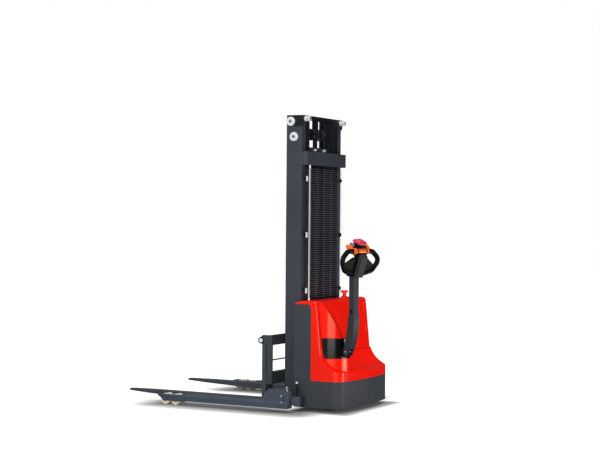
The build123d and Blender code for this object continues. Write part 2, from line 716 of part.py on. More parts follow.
def guide_rollers(z, inside, radius):
    """A pair of guide rollers, one each side, turning on pins across the truck."""
    with BuildPart() as rollers:
        rod_across(MAST_MID, z, (inside, inside + ROLLER_WIDTH), radius)
        rod_across(MAST_MID, z, (0, MAST_HALF), ROLLER_PIN_RADIUS + BORE_GAP, Mode.SUBTRACT)
        mirror(about=Plane.XZ)
    return rollers


top_guide_rollers = guide_rollers(TOP_ROLLER_Z, RAIL_FACE_OUT + 2 * RUN_GAP, RAIL_ROLLER_RADIUS)
foot_guide_rollers = guide_rollers(FOOT_ROLLER_Z, FOOT_ROLLER_OUT - ROLLER_WIDTH, CHANNEL_ROLLER_RADIUS)
CARRIAGE_ROLLER_IN = RAIL_FACE_IN - 2 * RUN_GAP - ROLLER_WIDTH
carriage_rollers_lower = guide_rollers(CARRIAGE_ROLLER_HEIGHTS[0], CARRIAGE_ROLLER_IN, RAIL_ROLLER_RADIUS)
carriage_rollers_upper = guide_rollers(CARRIAGE_ROLLER_HEIGHTS[1], CARRIAGE_ROLLER_IN, RAIL_ROLLER_RADIUS)

# Carriage plates inside the rails, with the stub pins of the carriage rollers
with BuildPart() as carriage_plates:
    block(
        (MAST_BACK + CARRIAGE_PLATE_REAR, CARRIAGE_BACK),
        (CARRIAGE_PLATE_OUT - CARRIAGE_PLATE_THICK, CARRIAGE_PLATE_OUT),
        (CARRIAGE_FOOT, CARRIAGE_TOP),
    )
    for roller_z in CARRIAGE_ROLLER_HEIGHTS:
        rod_across(MAST_MID, roller_z, (CARRIAGE_PLATE_OUT, RAIL_FACE_IN - 2 * RUN_GAP), ROLLER_PIN_RADIUS)
    mirror(about=Plane.XZ)

# Carriage bars across the front of the mast
with BuildPart() as upper_bar:
    block(
        (CARRIAGE_BACK, CARRIAGE_BACK + BAR_THICK),
        (-END_PLATE_SIDE, END_PLATE_SIDE),
        (CARRIAGE_TOP - UPPER_BAR_HEIGHT, CARRIAGE_TOP),
    )
with BuildPart() as lower_bar:
    block((CARRIAGE_BACK, FORK_BACK - RUN_GAP), (-END_PLATE_SIDE, END_PLATE_SIDE), (CARRIAGE_FOOT, LUG_TOP))
    for side in (-SHEAVE_SIDE, SHEAVE_SIDE):
        block(
            (CHAIN_FRONT_X - CHAIN_THICK, CARRIAGE_BACK),
            (side - CHAIN_WIDTH, side + CHAIN_WIDTH),
            (LUG_TOP - CHAIN_THICK * 2, LUG_TOP),
        )

# End plates: an upright with an arm forward to the hanger shaft
with BuildPart() as end_plates:
    with BuildSketch(side_plane(END_PLATE_SIDE + END_PLATE_THICK)):
        with Locations((CARRIAGE_BACK, CARRIAGE_FOOT)):
            Rectangle(END_PLATE_DEPTH, CARRIAGE_TOP - CARRIAGE_FOOT, align=(Align.MIN, Align.MIN))
        with BuildLine():
            Polyline(
                (CARRIAGE_BACK, CARRIAGE_TOP),
                (SHAFT_X - EAR_RADIUS / 2, CARRIAGE_TOP),
                (SHAFT_X, SHAFT_Z + EAR_RADIUS),
                (SHAFT_X, SHAFT_Z - EAR_RADIUS),
                (CARRIAGE_BACK, SHAFT_Z - EAR_RADIUS - END_PLATE_DEPTH / 2),
                close=True,
            )
        make_face()
        with Locations((SHAFT_X, SHAFT_Z)):
            Circle(EAR_RADIUS)
            Circle(SHAFT_RADIUS + BORE_GAP, mode=Mode.SUBTRACT)
    extrude(amount=END_PLATE_THICK)
    mirror(about=Plane.XZ)

# Hanger shaft and stay rod between the end plates
SHAFT_HALF = END_PLATE_SIDE + END_PLATE_THICK + SHAFT_PROUD
with BuildPart() as hanger_shaft:
    rod_across(SHAFT_X, SHAFT_Z, (-SHAFT_HALF, SHAFT_HALF), SHAFT_RADIUS)
with BuildPart() as stay_rod:
    rod_across(CARRIAGE_BACK + BAR_THICK / 2, STAY_Z, (-END_PLATE_SIDE, END_PLATE_SIDE), STAY_RADIUS)

# Forks: a forged shank and tapered blade, hung from the shaft by an eye
with BuildPart() as fork_left:
    with BuildSketch(side_plane(FORK_MID + FORK_WIDTH / 2)):
        with BuildLine():
            Polyline(
                (FORK_BACK, SHAFT_Z),
                (FORK_BACK, FORK_TOP - FORK_BLADE),
                (FORK_FACE + FORK_BELLY, FORK_TOP - FORK_BLADE),
                (FORK_TIP, FORK_TOP - FORK_TIP_THICK),
                (FORK_TIP, FORK_TOP),
                (FORK_FACE, FORK_TOP),
                (FORK_FACE, SHAFT_Z),
                close=True,
            )
        profile = make_face()
        heel = profile.vertices().group_by(Axis.X)[0].sort_by(Axis.Z)[0]
        fillet(heel, HEEL_RADIUS)
    extrude(amount=FORK_WIDTH)
    with BuildSketch(Plane.XY) as fork_plan:
        with BuildLine():
            Polyline(
                (FORK_BACK, FORK_MID - FORK_WIDTH / 2),
                (FORK_TIP - FORK_TIP_TAPER, FORK_MID - FORK_WIDTH / 2),
                (FORK_TIP, FORK_MID - FORK_TIP_WIDTH / 2),
                (FORK_TIP, FORK_MID + FORK_TIP_WIDTH / 2),
                (FORK_TIP - FORK_TIP_TAPER, FORK_MID + FORK_WIDTH / 2),
                (FORK_BACK, FORK_MID + FORK_WIDTH / 2),
                close=True,
            )
        make_face()
        fillet(fork_plan.vertices().group_by(Axis.X)[-1], (FORK_TIP_WIDTH - FORK_TIP_FLAT) / 2)
    extrude(amount=SHAFT_Z, mode=Mode.INTERSECT)
    eye = (FORK_MID - FORK_EYE_WIDTH / 2, FORK_MID + FORK_EYE_WIDTH / 2)
    rod_across(SHAFT_X, SHAFT_Z, eye, FORK_EYE_RADIUS)
    block(
        (FORK_BACK, SHAFT_X),
        eye,
        (SHAFT_Z - FORK_EYE_RADIUS, SHAFT_Z + FORK_EYE_RADIUS / 2),
    )
    rod_across(
        SHAFT_X,
        SHAFT_Z,
        (FORK_MID - FORK_WIDTH, FORK_MID + FORK_WIDTH),
        SHAFT_RADIUS + BORE_GAP,
        Mode.SUBTRACT,
    )
fork_right = opposite(fork_left)

# Straddle legs: chamfered beam, open roller box, gusset bracket and the arm that slides in the sleeve
LEG_BACK_X = MAST_BACK + LEG_REAR
BOX_BACK_X = MAST_BACK + ROLLER_BOX_REAR
ROLLER_FRONT_X = MAST_BACK + LOAD_ROLLER_FRONT
ROLLER_XS = (ROLLER_FRONT_X - LOAD_ROLLER_PITCH, ROLLER_FRONT_X)
BOX_SLOT_FRONT = ROLLER_FRONT_X + LOAD_ROLLER_RADIUS + BOX_NOSE_GAP
BOX_TIP = BOX_SLOT_FRONT + BOX_NOSE
BOX_HALF = LOAD_ROLLER_WIDTH / 2 + ROLLER_SIDE_GAP + ROLLER_BOX_WALL
LEG_SHOULDER = LEG_TOP - LEG_CHAMFER
TOE_SLOPE = (BRACKET_TOE - BRACKET_FLAT_FRONT) / (BRACKET_TOP - LEG_SHOULDER)
ARM_DEPTH = SLEEVE_DEPTH - 2 * SLEEVE_WALL - 2 * RUN_GAP
with BuildPart() as leg_left:
    with BuildSketch(Plane.YZ.offset(LEG_BACK_X)):
        with BuildLine():
            Polyline(
                (LEG_INSIDE, LEG_FOOT),
                (LEG_OUTSIDE, LEG_FOOT),
                (LEG_OUTSIDE, LEG_SHOULDER),
                (LEG_OUTSIDE - LEG_CHAMFER, LEG_TOP),
                (LEG_INSIDE, LEG_TOP),
                close=True,
            )
        make_face()
    extrude(amount=BOX_BACK_X - LEG_BACK_X)
    with BuildSketch(side_plane(LEG_MID + BOX_HALF)):
        with BuildLine():
            Polyline(
                (BOX_BACK_X, ROLLER_BOX_FOOT),
                (BOX_BACK_X, ROLLER_BOX_TOP),
                (BOX_TIP, ROLLER_BOX_TOP),
                (BOX_TIP, ROLLER_BOX_TOP - BOX_NOSE),
                (ROLLER_FRONT_X, ROLLER_BOX_FOOT),
                close=True,
            )
        make_face()
    extrude(amount=2 * BOX_HALF)
    block(
        (ROLLER_XS[0] - LOAD_ROLLER_RADIUS - BOX_NOSE_GAP, BOX_SLOT_FRONT),
        (LEG_MID - BOX_HALF + ROLLER_BOX_WALL, LEG_MID + BOX_HALF - ROLLER_BOX_WALL),
        (0, MAST_FOOT + BRACKET_TOP),
        Mode.SUBTRACT,
    )
    for roller_x in ROLLER_XS:
        rod_across(
            roller_x,
            LOAD_ROLLER_RADIUS,
            (LEG_INSIDE - LEG_WIDTH, LEG_OUTSIDE + LEG_WIDTH),
            LOAD_AXLE_RADIUS + BORE_GAP,
            Mode.SUBTRACT,
        )
    with BuildSketch(side_plane(LEG_INSIDE + BRACKET_WIDTH)):
        with BuildLine():
            Polyline(
                (LEG_BACK_X, LEG_SHOULDER),
                (LEG_BACK_X, BRACKET_TOP - BRACKET_PLATE),
                (LEG_BACK_X + BRACKET_PLATE, BRACKET_TOP),
                (MAST_BACK + BRACKET_FLAT_FRONT, BRACKET_TOP),
                (MAST_BACK + BRACKET_TOE, LEG_SHOULDER),
                close=True,
            )
        make_face()
    extrude(amount=BRACKET_WIDTH)
    with BuildSketch(side_plane(LEG_INSIDE + BRACKET_WIDTH + CHEEK_THICK)):
        with BuildLine():
            Polyline(
                (LEG_BACK_X + CHEEK_REAR, LEG_SHOULDER),
                (LEG_BACK_X + CHEEK_REAR, CHEEK_TOP),
                (MAST_BACK + BRACKET_TOE - TOE_SLOPE * (CHEEK_TOP - LEG_SHOULDER), CHEEK_TOP),
                (MAST_BACK + BRACKET_TOE, LEG_SHOULDER),
                close=True,
            )
        make_face()
    extrude(amount=CHEEK_THICK)
    block(
        (MAST_BACK, MAST_BACK + BRACKET_FLAT_FRONT - BRACKET_PLATE),
        (BRACKET_PLATE_INSIDE, LEG_INSIDE + BRACKET_WIDTH),
        (BRACKET_TOP, BRACKET_TOP + BRACKET_PLATE),
    )
    block(
        (MAST_BACK + LEG_PLATE_REAR, LEG_BACK_X),
        (LEG_INSIDE, LEG_INSIDE + BRACKET_PLATE),
        (SLEEVE_FOOT, SLEEVE_TOP),
    )
    block(
        (SLEEVE_MID - ARM_DEPTH / 2, SLEEVE_MID + ARM_DEPTH / 2),
        (ARM_INSIDE, LEG_INSIDE),
        (SLEEVE_FOOT + SLEEVE_WALL + RUN_GAP, ARM_TOP),
    )
leg_right = opposite(leg_left)

# Axle bolts of the load rollers
with BuildPart() as load_axles_left:
    axle_limits = (LEG_MID - BOX_HALF, LEG_MID + BOX_HALF)
    for roller_x in ROLLER_XS:
        rod_across(roller_x, LOAD_ROLLER_RADIUS, axle_limits, LOAD_AXLE_RADIUS)
        for face in (axle_limits[0] - LOAD_AXLE_HEAD, axle_limits[1]):
            rod_across(roller_x, LOAD_ROLLER_RADIUS, (face, face + LOAD_AXLE_HEAD), LOAD_AXLE_HEAD_RADIUS)
load_axles_right = opposite(load_axles_left)


def load_roller(x, side):
    """A tandem load roller with chamfered edges, bored for its axle."""
    limits = (side - LOAD_ROLLER_WIDTH / 2, side + LOAD_ROLLER_WIDTH / 2)
    with BuildPart() as roller:
        rod_across(x, LOAD_ROLLER_RADIUS, limits, LOAD_ROLLER_RADIUS)
        chamfer(roller.edges().filter_by(GeomType.CIRCLE), LOAD_ROLLER_EDGE)
        rod_across(
            x,
            LOAD_ROLLER_RADIUS,
            (side - LEG_WIDTH, side + LEG_WIDTH),
            LOAD_AXLE_RADIUS + BORE_GAP,
            Mode.SUBTRACT,
        )
    return roller


load_roller_left_rear = load_roller(ROLLER_XS[0], LEG_MID)
load_roller_left_front = load_roller(ROLLER_XS[1], LEG_MID)
load_roller_right_rear = load_roller(ROLLER_XS[0], -LEG_MID)
load_roller_right_front = load_roller(ROLLER_XS[1], -LEG_MID)

# Sleeve tube through the chassis, which takes both leg arms
with BuildPart() as leg_sleeve:
    with BuildSketch(side_plane(SLEEVE_HALF_LENGTH)):
        with Locations((SLEEVE_MID, SLEEVE_FOOT + SLEEVE_HEIGHT / 2)):
            Rectangle(SLEEVE_DEPTH, SLEEVE_HEIGHT)
            Rectangle(SLEEVE_DEPTH - 2 * SLEEVE_WALL, SLEEVE_HEIGHT - 2 * SLEEVE_WALL, mode=Mode.SUBTRACT)
    extrude(amount=2 * SLEEVE_HALF_LENGTH)
    for side in (-CLAMP_SIDE, CLAMP_SIDE):
        rod_up(
            SLEEVE_MID,
            side,
            (ARM_TOP, SLEEVE_TOP + RUN_GAP),
            CLAMP_RADIUS + BORE_GAP,
            Mode.SUBTRACT,
        )

# Clamp screws standing on the leg arms
with BuildPart() as clamp_screws:
    for side in (-CLAMP_SIDE, CLAMP_SIDE):
        rod_up(SLEEVE_MID, side, (ARM_TOP + RUN_GAP, CLAMP_TOP), CLAMP_RADIUS)
        with BuildSketch(Plane.XY.offset(CLAMP_TOP)):
            with Locations((SLEEVE_MID, side)):
                RegularPolygon(CLAMP_HEAD_RADIUS, 6)
        extrude(amount=CLAMP_HEAD_HEIGHT)


def skirt_plan(inset):
    """The body's outline from above, drawn inside the outer face by the inset, open to the mast."""
    half = BODY_HALF - inset
    corner = MAST_BACK - SKIRT_CORNER + inset
    bow = MAST_BACK - SKIRT_BOW + inset
    with BuildSketch() as plan:
        with BuildLine():
            Line((MAST_BACK, -half), (MAST_BACK, half))
            Line((MAST_BACK, half), (corner, half))
            ThreePointArc((corner, half), (bow, 0), (corner, -half))
            Line((corner, -half), (MAST_BACK, -half))
        make_face()
        fillet(plan.vertices().group_by(Axis.X)[0], CORNER_RADIUS - inset)
    return plan.sketch


def column_side(gap):
    """Side view of a column with its round rear corner, drawn outside its edges by the gap."""
    with BuildSketch() as column:
        with BuildLine():
            Polyline(
                (MAST_BACK, SKIRT_TOP),
                (MAST_BACK, COLUMN_TOP + gap),
                (COLUMN_BACK - gap, COLUMN_TOP + gap),
                (COLUMN_BACK - gap, SKIRT_TOP),
                close=True,
            )
        make_face()
        fillet(column.vertices().group_by(Axis.X)[0].sort_by(Axis.Y)[-1], COLUMN_ROUND + gap)
    return column.sketch


# Skirt: a bent plate around the rear, with a column up each side of the hood
with BuildPart() as skirt:
    with BuildSketch(Plane.XY.offset(SKIRT_FOOT)):
        add(skirt_plan(0))
        add(skirt_plan(SKIRT_WALL), mode=Mode.SUBTRACT)
    extrude(amount=SKIRT_TOP - SKIRT_FOOT)
    for outer_face in (BODY_HALF, SKIRT_WALL - BODY_HALF):
        with BuildSketch(side_plane(outer_face)):
            add(column_side(0))
        extrude(amount=SKIRT_WALL)
    block(
        (SLEEVE_BACK - RUN_GAP, SLEEVE_FRONT + RUN_GAP),
        (-BODY_HALF, BODY_HALF),
        (SLEEVE_FOOT - RUN_GAP, SLEEVE_TOP + RUN_GAP),
        Mode.SUBTRACT,
    )

# Frame: bulkhead behind the mast, deck inside the skirt and the turret ring of the drive unit
with BuildPart() as base_frame:
    frame_half = BODY_HALF - SKIRT_WALL
    block((MAST_BACK - BULKHEAD, MAST_BACK), (-frame_half, frame_half), (SLEEVE_FOOT, BULKHEAD_TOP))
    with BuildSketch(Plane.XY.offset(DECK_FOOT)):
        add(skirt_plan(SKIRT_WALL))
    extrude(amount=DECK_THICK)
    rod_up(STEER_X, STEER_SIDE, (SKIRT_TOP, TURRET_TOP), TURRET_HOLE + TURRET_WALL)
    rod_up(STEER_X, STEER_SIDE, (DECK_FOOT, TURRET_TOP), TURRET_HOLE, Mode.SUBTRACT)
    rod_up(STEER_X, CASTOR_SIDE, (DECK_FOOT, SKIRT_TOP), CASTOR_PIN_RADIUS + BORE_GAP, Mode.SUBTRACT)


def tower_solid(wall):
    """The steering tower: a quarter dome to the right, an upright round cheek to the left."""
    radius = TOWER_RADIUS - wall
    with BuildPart() as tower:
        with BuildSketch(side_plane(STEER_SIDE)) as arch:
            with BuildLine():
                Line((STEER_X, PARTING), (STEER_X - radius, PARTING))
                ThreePointArc(
                    (STEER_X - radius, PARTING),
                    (STEER_X - TOWER_MID_RADIUS + wall, TOWER_MID_Z),
                    (STEER_X, TOWER_TOP - wall),
                )
                Line((STEER_X, TOWER_TOP - wall), (STEER_X, PARTING))
            make_face()
        extrude(amount=-radius)
        rod_up(STEER_X, STEER_SIDE, (PARTING, HOOD_TOP), radius, Mode.INTERSECT)
        revolve(arch.sketch, axis=STEER_AXIS, revolution_arc=90)
        root = tower.faces().filter_by(Axis.X).group_by(Axis.X)[-1]
        extrude(root, amount=TOWER_ROOT, dir=(1, 0, 0))
    return tower.part


def hood_profile(wall):
    """Side view of the upper hood, drawn inside its outer face by the wall."""
    top_rear = MAST_BACK - HOOD_TOP_REAR + wall
    front = HOOD_FACE if wall == 0 else MAST_BACK
    with BuildSketch() as profile:
        with BuildLine():
            Polyline(
                (front, PARTING),
                (front, HOOD_TOP - BEAK_DROP - wall),
                (front - BEAK_LENGTH, HOOD_TOP - wall),
                (top_rear, HOOD_TOP - wall),
                (MAST_BACK - PANEL_FOOT + wall, PARTING),
                close=True,
            )
        make_face()
        fillet(profile.vertices().sort_by(Axis.Y)[-2:].sort_by(Axis.X)[0], HOOD_ROUND - wall)
    return profile.sketch


# Upper hood: a moulded shell with the steering tower, two shallow recesses and the button hole
PANEL_TILT = (MAST_BACK - HOOD_TOP_REAR - (MAST_BACK - PANEL_FOOT)) / (HOOD_TOP - PARTING)
with BuildPart() as hood_upper:
    with BuildSketch(side_plane(BODY_HALF)):
        add(hood_profile(0))
    extrude(amount=2 * BODY_HALF)
    rims = hood_upper.faces().filter_by(Axis.Y).edges()
    rims = rims.filter_by(lambda e: e.center().X < HOOD_FACE - RUN_GAP and e.center().Z > PARTING + RUN_GAP)
    fillet(rims, HOOD_EDGE)
    add(tower_solid(0))
    with BuildSketch(side_plane(BODY_HALF - HOOD_WALL)):
        add(hood_profile(HOOD_WALL))
    extrude(amount=2 * (BODY_HALF - HOOD_WALL), mode=Mode.SUBTRACT)
    add(tower_solid(HOOD_WALL), mode=Mode.SUBTRACT)
    rod_up(STEER_X, STEER_SIDE, (PARTING, WINDOW_TOP), TOWER_RADIUS + RUN_GAP, Mode.SUBTRACT)
    for outer_face in (BODY_HALF, SKIRT_WALL + RUN_GAP - BODY_HALF):
        with BuildSketch(side_plane(outer_face)):
            add(column_side(RUN_GAP))
        extrude(amount=SKIRT_WALL + RUN_GAP, mode=Mode.SUBTRACT)
    for recess_z in RECESS_HEIGHTS:
        panel_x = MAST_BACK - PANEL_FOOT + PANEL_TILT * (recess_z - PARTING)
        panel = Plane(origin=(panel_x, RECESS_SIDE, recess_z), x_dir=(0, 1, 0), z_dir=(-1, 0, PANEL_TILT))
        with BuildSketch(panel):
            RectangleRounded(RECESS_WIDTH, RECESS_HEIGHT, RECESS_ROUND)
        extrude(amount=-RECESS_DEPTH, mode=Mode.SUBTRACT)
    rod_up(
        MAST_BACK - E_STOP_INSET,
        E_STOP_SIDE,
        (HOOD_TOP - 2 * HOOD_WALL, HOOD_TOP + HOOD_WALL),
        E_STOP_STEM + BORE_GAP,
        Mode.SUBTRACT,
    )


def lower_cover_solid(wall):
    """The lower cover's volume: a flared side view cut by the body's outline, with the tower's foot."""
    front = COLUMN_BACK - RUN_GAP + 2 * wall
    foot = SKIRT_TOP - 2 * wall
    panel_foot = (MAST_BACK - PANEL_FOOT - PARTING_STEP + wall, PARTING + wall)
    flare_end = (MAST_BACK - FLARE_REACH + wall, FLARE_Z - wall)
    bow = MAST_BACK - SKIRT_BOW
    middle = (
        panel_foot[0] + (flare_end[0] - panel_foot[0]) * (1 - FLARE_SAG),
        panel_foot[1] + (flare_end[1] - panel_foot[1]) * FLARE_SAG,
    )
    with BuildPart() as cover:
        with BuildSketch(side_plane(BODY_HALF)):
            with BuildLine():
                Line((front, foot), (front, panel_foot[1]))
                Line((front, panel_foot[1]), panel_foot)
                ThreePointArc(panel_foot, middle, flare_end)
                Line(flare_end, (bow, FLARE_Z - LEDGE_DROP - wall))
                Line((bow, FLARE_Z - LEDGE_DROP - wall), (bow, foot))
                Line((bow, foot), (front, foot))
            make_face()
        extrude(amount=2 * BODY_HALF)
        rod_up(STEER_X, STEER_SIDE, (foot, PARTING + wall), TOWER_RADIUS - wall)
        with BuildSketch(Plane.XY.offset(foot)):
            add(skirt_plan(wall))
        extrude(amount=PARTING + wall - foot, mode=Mode.INTERSECT)
    return cover.part


# Lower cover: the flared shell between the hood and the skirt
with BuildPart() as hood_lower:
    add(lower_cover_solid(0))
    block((COLUMN_BACK - RUN_GAP, MAST_BACK), (-BODY_HALF, BODY_HALF), (SKIRT_TOP, PARTING), Mode.SUBTRACT)
    add(lower_cover_solid(HOOD_WALL), mode=Mode.SUBTRACT)
    rod_up(STEER_X, STEER_SIDE, (WINDOW_FOOT, PARTING), TOWER_RADIUS + RUN_GAP, Mode.SUBTRACT)

# Battery and hydraulic unit behind the bulkhead
PACK_FACE = MAST_BACK - BULKHEAD
with BuildPart() as battery:
    block(
        (PACK_FACE - BATTERY_DEPTH, PACK_FACE),
        (BATTERY_SIDE - BATTERY_WIDTH / 2, BATTERY_SIDE + BATTERY_WIDTH / 2),
        (SKIRT_TOP, SKIRT_TOP + BATTERY_HEIGHT),
    )
    chamfer(battery.edges().filter_by(Axis.Z), HOOD_WALL)
with BuildPart() as hydraulic_unit:
    block(
        (PACK_FACE - HYDRAULIC_DEPTH, PACK_FACE),
        (STEER_SIDE - HYDRAULIC_WIDTH / 2, STEER_SIDE + HYDRAULIC_WIDTH / 2),
        (HYDRAULIC_FOOT, HYDRAULIC_FOOT + HYDRAULIC_HEIGHT - HYDRAULIC_DEPTH / 2),
    )
    rod_across(
        PACK_FACE - HYDRAULIC_DEPTH / 2,
        HYDRAULIC_FOOT + HYDRAULIC_HEIGHT - HYDRAULIC_DEPTH / 2,
        (STEER_SIDE - HYDRAULIC_WIDTH / 2, STEER_SIDE + HYDRAULIC_WIDTH / 4),
        HYDRAULIC_DEPTH / 2,
    )

# Emergency-stop mushroom on its stem
with BuildPart() as e_stop_button:
    e_stop_x = MAST_BACK - E_STOP_INSET
    rod_up(e_stop_x, E_STOP_SIDE, (E_STOP_TOP - E_STOP_HEAD, E_STOP_TOP), E_STOP_RADIUS)
    fillet(e_stop_button.edges().group_by(Axis.Z)[-1], E_STOP_HEAD / 2)
    rod_up(e_stop_x, E_STOP_SIDE, (HOOD_TOP - E_STOP_DEPTH, E_STOP_TOP - E_STOP_HEAD), E_STOP_STEM)

# Drive unit: turning disc, upright motor and the gearbox beside the wheel
GEARBOX_MID = DRIVE_WHEEL_WIDTH / 2 + WHEEL_SIDE_GAP + GEARBOX_THICK / 2
with BuildPart() as drive_unit:
    rod_up(STEER_X, STEER_SIDE, (DISC_FOOT, DISC_TOP), DISC_RADIUS)
    rod_up(STEER_X, STEER_SIDE, (DISC_TOP, MOTOR_TOP), MOTOR_RADIUS)
    with BuildSketch(TILLER_SIDE.offset(GEARBOX_MID - GEARBOX_THICK / 2)):
        with Locations((0, DRIVE_WHEEL_RADIUS)):
            Circle(GEARBOX_LENGTH / 2)
        with Locations((0, DRIVE_WHEEL_RADIUS)):
            Rectangle(GEARBOX_LENGTH, DISC_FOOT - DRIVE_WHEEL_RADIUS, align=(Align.CENTER, Align.MIN))
    extrude(amount=GEARBOX_THICK)
    with BuildSketch(TILLER_SIDE.offset(-DRIVE_WHEEL_WIDTH / 2)):
        with Locations((0, DRIVE_WHEEL_RADIUS)):
            Circle(AXLE_RADIUS)
    extrude(amount=DRIVE_WHEEL_WIDTH + WHEEL_SIDE_GAP)

# Drive wheel: a rounded tread on a hub bored for the gearbox shaft
with BuildPart() as drive_wheel:
    with BuildSketch(TILLER_SIDE.offset(-DRIVE_WHEEL_WIDTH / 2)):
        with Locations((0, DRIVE_WHEEL_RADIUS)):
            Circle(DRIVE_WHEEL_RADIUS)
    extrude(amount=DRIVE_WHEEL_WIDTH)
    chamfer(drive_wheel.edges().filter_by(GeomType.CIRCLE), DRIVE_TREAD / 4)
    with BuildSketch(TILLER_SIDE.offset(-DRIVE_WHEEL_WIDTH / 2)):
        with Locations((0, DRIVE_WHEEL_RADIUS)):
            Circle(DRIVE_WHEEL_RADIUS - DRIVE_TREAD)
            Circle(AXLE_RADIUS * 2, mode=Mode.SUBTRACT)
    extrude(amount=DRIVE_TREAD / 2, mode=Mode.SUBTRACT)
    with BuildSketch(TILLER_SIDE.offset(-DRIVE_WHEEL_WIDTH / 2)):
        with Locations((0, DRIVE_WHEEL_RADIUS)):
            Circle(AXLE_RADIUS + BORE_GAP)
    extrude(amount=DRIVE_WHEEL_WIDTH, mode=Mode.SUBTRACT)

# Castor: swivel head with its pin through the deck, fork plates and a trailing wheel
CASTOR_X = STEER_X
CASTOR_AXLE_X = CASTOR_X - CASTOR_TRAIL
CASTOR_HEAD_TOP = DECK_FOOT - RUN_GAP
CASTOR_HEAD_FOOT = CASTOR_HEAD_TOP - CASTOR_HEAD_THICK
CASTOR_FORK_IN = CASTOR_WHEEL_WIDTH / 2 + WHEEL_SIDE_GAP
with BuildPart() as castor_fork:
    rod_up(CASTOR_X, CASTOR_SIDE, (CASTOR_HEAD_FOOT, CASTOR_HEAD_TOP), CASTOR_HEAD_RADIUS)
    castor_pin_top = SKIRT_TOP + RUN_GAP + CASTOR_NUT_HEIGHT
    rod_up(CASTOR_X, CASTOR_SIDE, (CASTOR_HEAD_TOP, castor_pin_top), CASTOR_PIN_RADIUS)
    nut_foot = SKIRT_TOP + RUN_GAP
    rod_up(CASTOR_X, CASTOR_SIDE, (nut_foot, nut_foot + CASTOR_NUT_HEIGHT), CASTOR_NUT_RADIUS)
    with BuildSketch(side_plane(CASTOR_SIDE + CASTOR_FORK_IN + CASTOR_FORK_PLATE)) as fork_side:
        with BuildLine():
            Polyline(
                (CASTOR_X + CASTOR_HEAD_RADIUS / 2, CASTOR_HEAD_TOP),
                (CASTOR_X - CASTOR_HEAD_RADIUS, CASTOR_HEAD_TOP),
                (CASTOR_AXLE_X - CASTOR_HEAD_RADIUS / 2, CASTOR_WHEEL_RADIUS),
                (CASTOR_AXLE_X + CASTOR_HEAD_RADIUS / 2, CASTOR_WHEEL_RADIUS),
                close=True,
            )
        make_face()
        with Locations((CASTOR_AXLE_X, CASTOR_WHEEL_RADIUS)):
            Circle(CASTOR_HEAD_RADIUS / 2)
    extrude(amount=CASTOR_FORK_PLATE)
    with BuildSketch(side_plane(CASTOR_SIDE - CASTOR_FORK_IN)):
        add(fork_side.sketch)
    extrude(amount=CASTOR_FORK_PLATE)
    rod_across(
        CASTOR_AXLE_X,
        CASTOR_WHEEL_RADIUS,
        (CASTOR_SIDE - CASTOR_FORK_IN, CASTOR_SIDE + CASTOR_FORK_IN),
        CASTOR_AXLE_RADIUS,
    )
with BuildPart() as castor_wheel:
    rod_across(
        CASTOR_AXLE_X,
        CASTOR_WHEEL_RADIUS,
        (CASTOR_SIDE - CASTOR_WHEEL_WIDTH / 2, CASTOR_SIDE + CASTOR_WHEEL_WIDTH / 2),
        CASTOR_WHEEL_RADIUS,
    )
    chamfer(castor_wheel.edges().filter_by(GeomType.CIRCLE), CASTOR_FORK_PLATE / 2)
    rod_across(
        CASTOR_AXLE_X,
        CASTOR_WHEEL_RADIUS,
        (CASTOR_SIDE - CASTOR_WHEEL_WIDTH, CASTOR_SIDE + CASTOR_WHEEL_WIDTH),
        CASTOR_AXLE_RADIUS + BORE_GAP,
        Mode.SUBTRACT,
    )

# Steering head: the drum behind the tower window, with the lug and pin that carry the tiller
with BuildPart() as steering_head:
    rod_up(STEER_X, STEER_SIDE, (DRUM_FOOT, DRUM_TOP), DRUM_RADIUS)
    rod_up(STEER_X, STEER_SIDE, (DRUM_FOOT, DRUM_TOP - DRUM_WALL), DRUM_RADIUS - DRUM_WALL, Mode.SUBTRACT)
    rod_up(STEER_X, STEER_SIDE, (DRUM_FOOT, DRUM_TOP), MOTOR_RADIUS + BORE_GAP, Mode.SUBTRACT)
    with BuildSketch(TILLER_SIDE.offset(-LUG_WIDTH / 2)):
        with Locations((TILT_RADIUS, TILT_Z)):
            Circle(LUG_RADIUS)
        with BuildLine():
            Polyline(
                (DRUM_RADIUS - DRUM_WALL / 2, TILT_Z + LUG_RADIUS),
                (TILT_RADIUS, TILT_Z + LUG_RADIUS),
                (TILT_RADIUS, TILT_Z - LUG_RADIUS),
                (DRUM_RADIUS - DRUM_WALL / 2, TILT_Z - 2 * LUG_RADIUS),
                close=True,
            )
        make_face()
    extrude(amount=LUG_WIDTH)
    with BuildSketch(TILLER_SIDE.offset(-NECK_WIDTH / 2)):
        with Locations((TILT_RADIUS, TILT_Z)):
            Circle(TILT_PIN_RADIUS)
    extrude(amount=NECK_WIDTH)

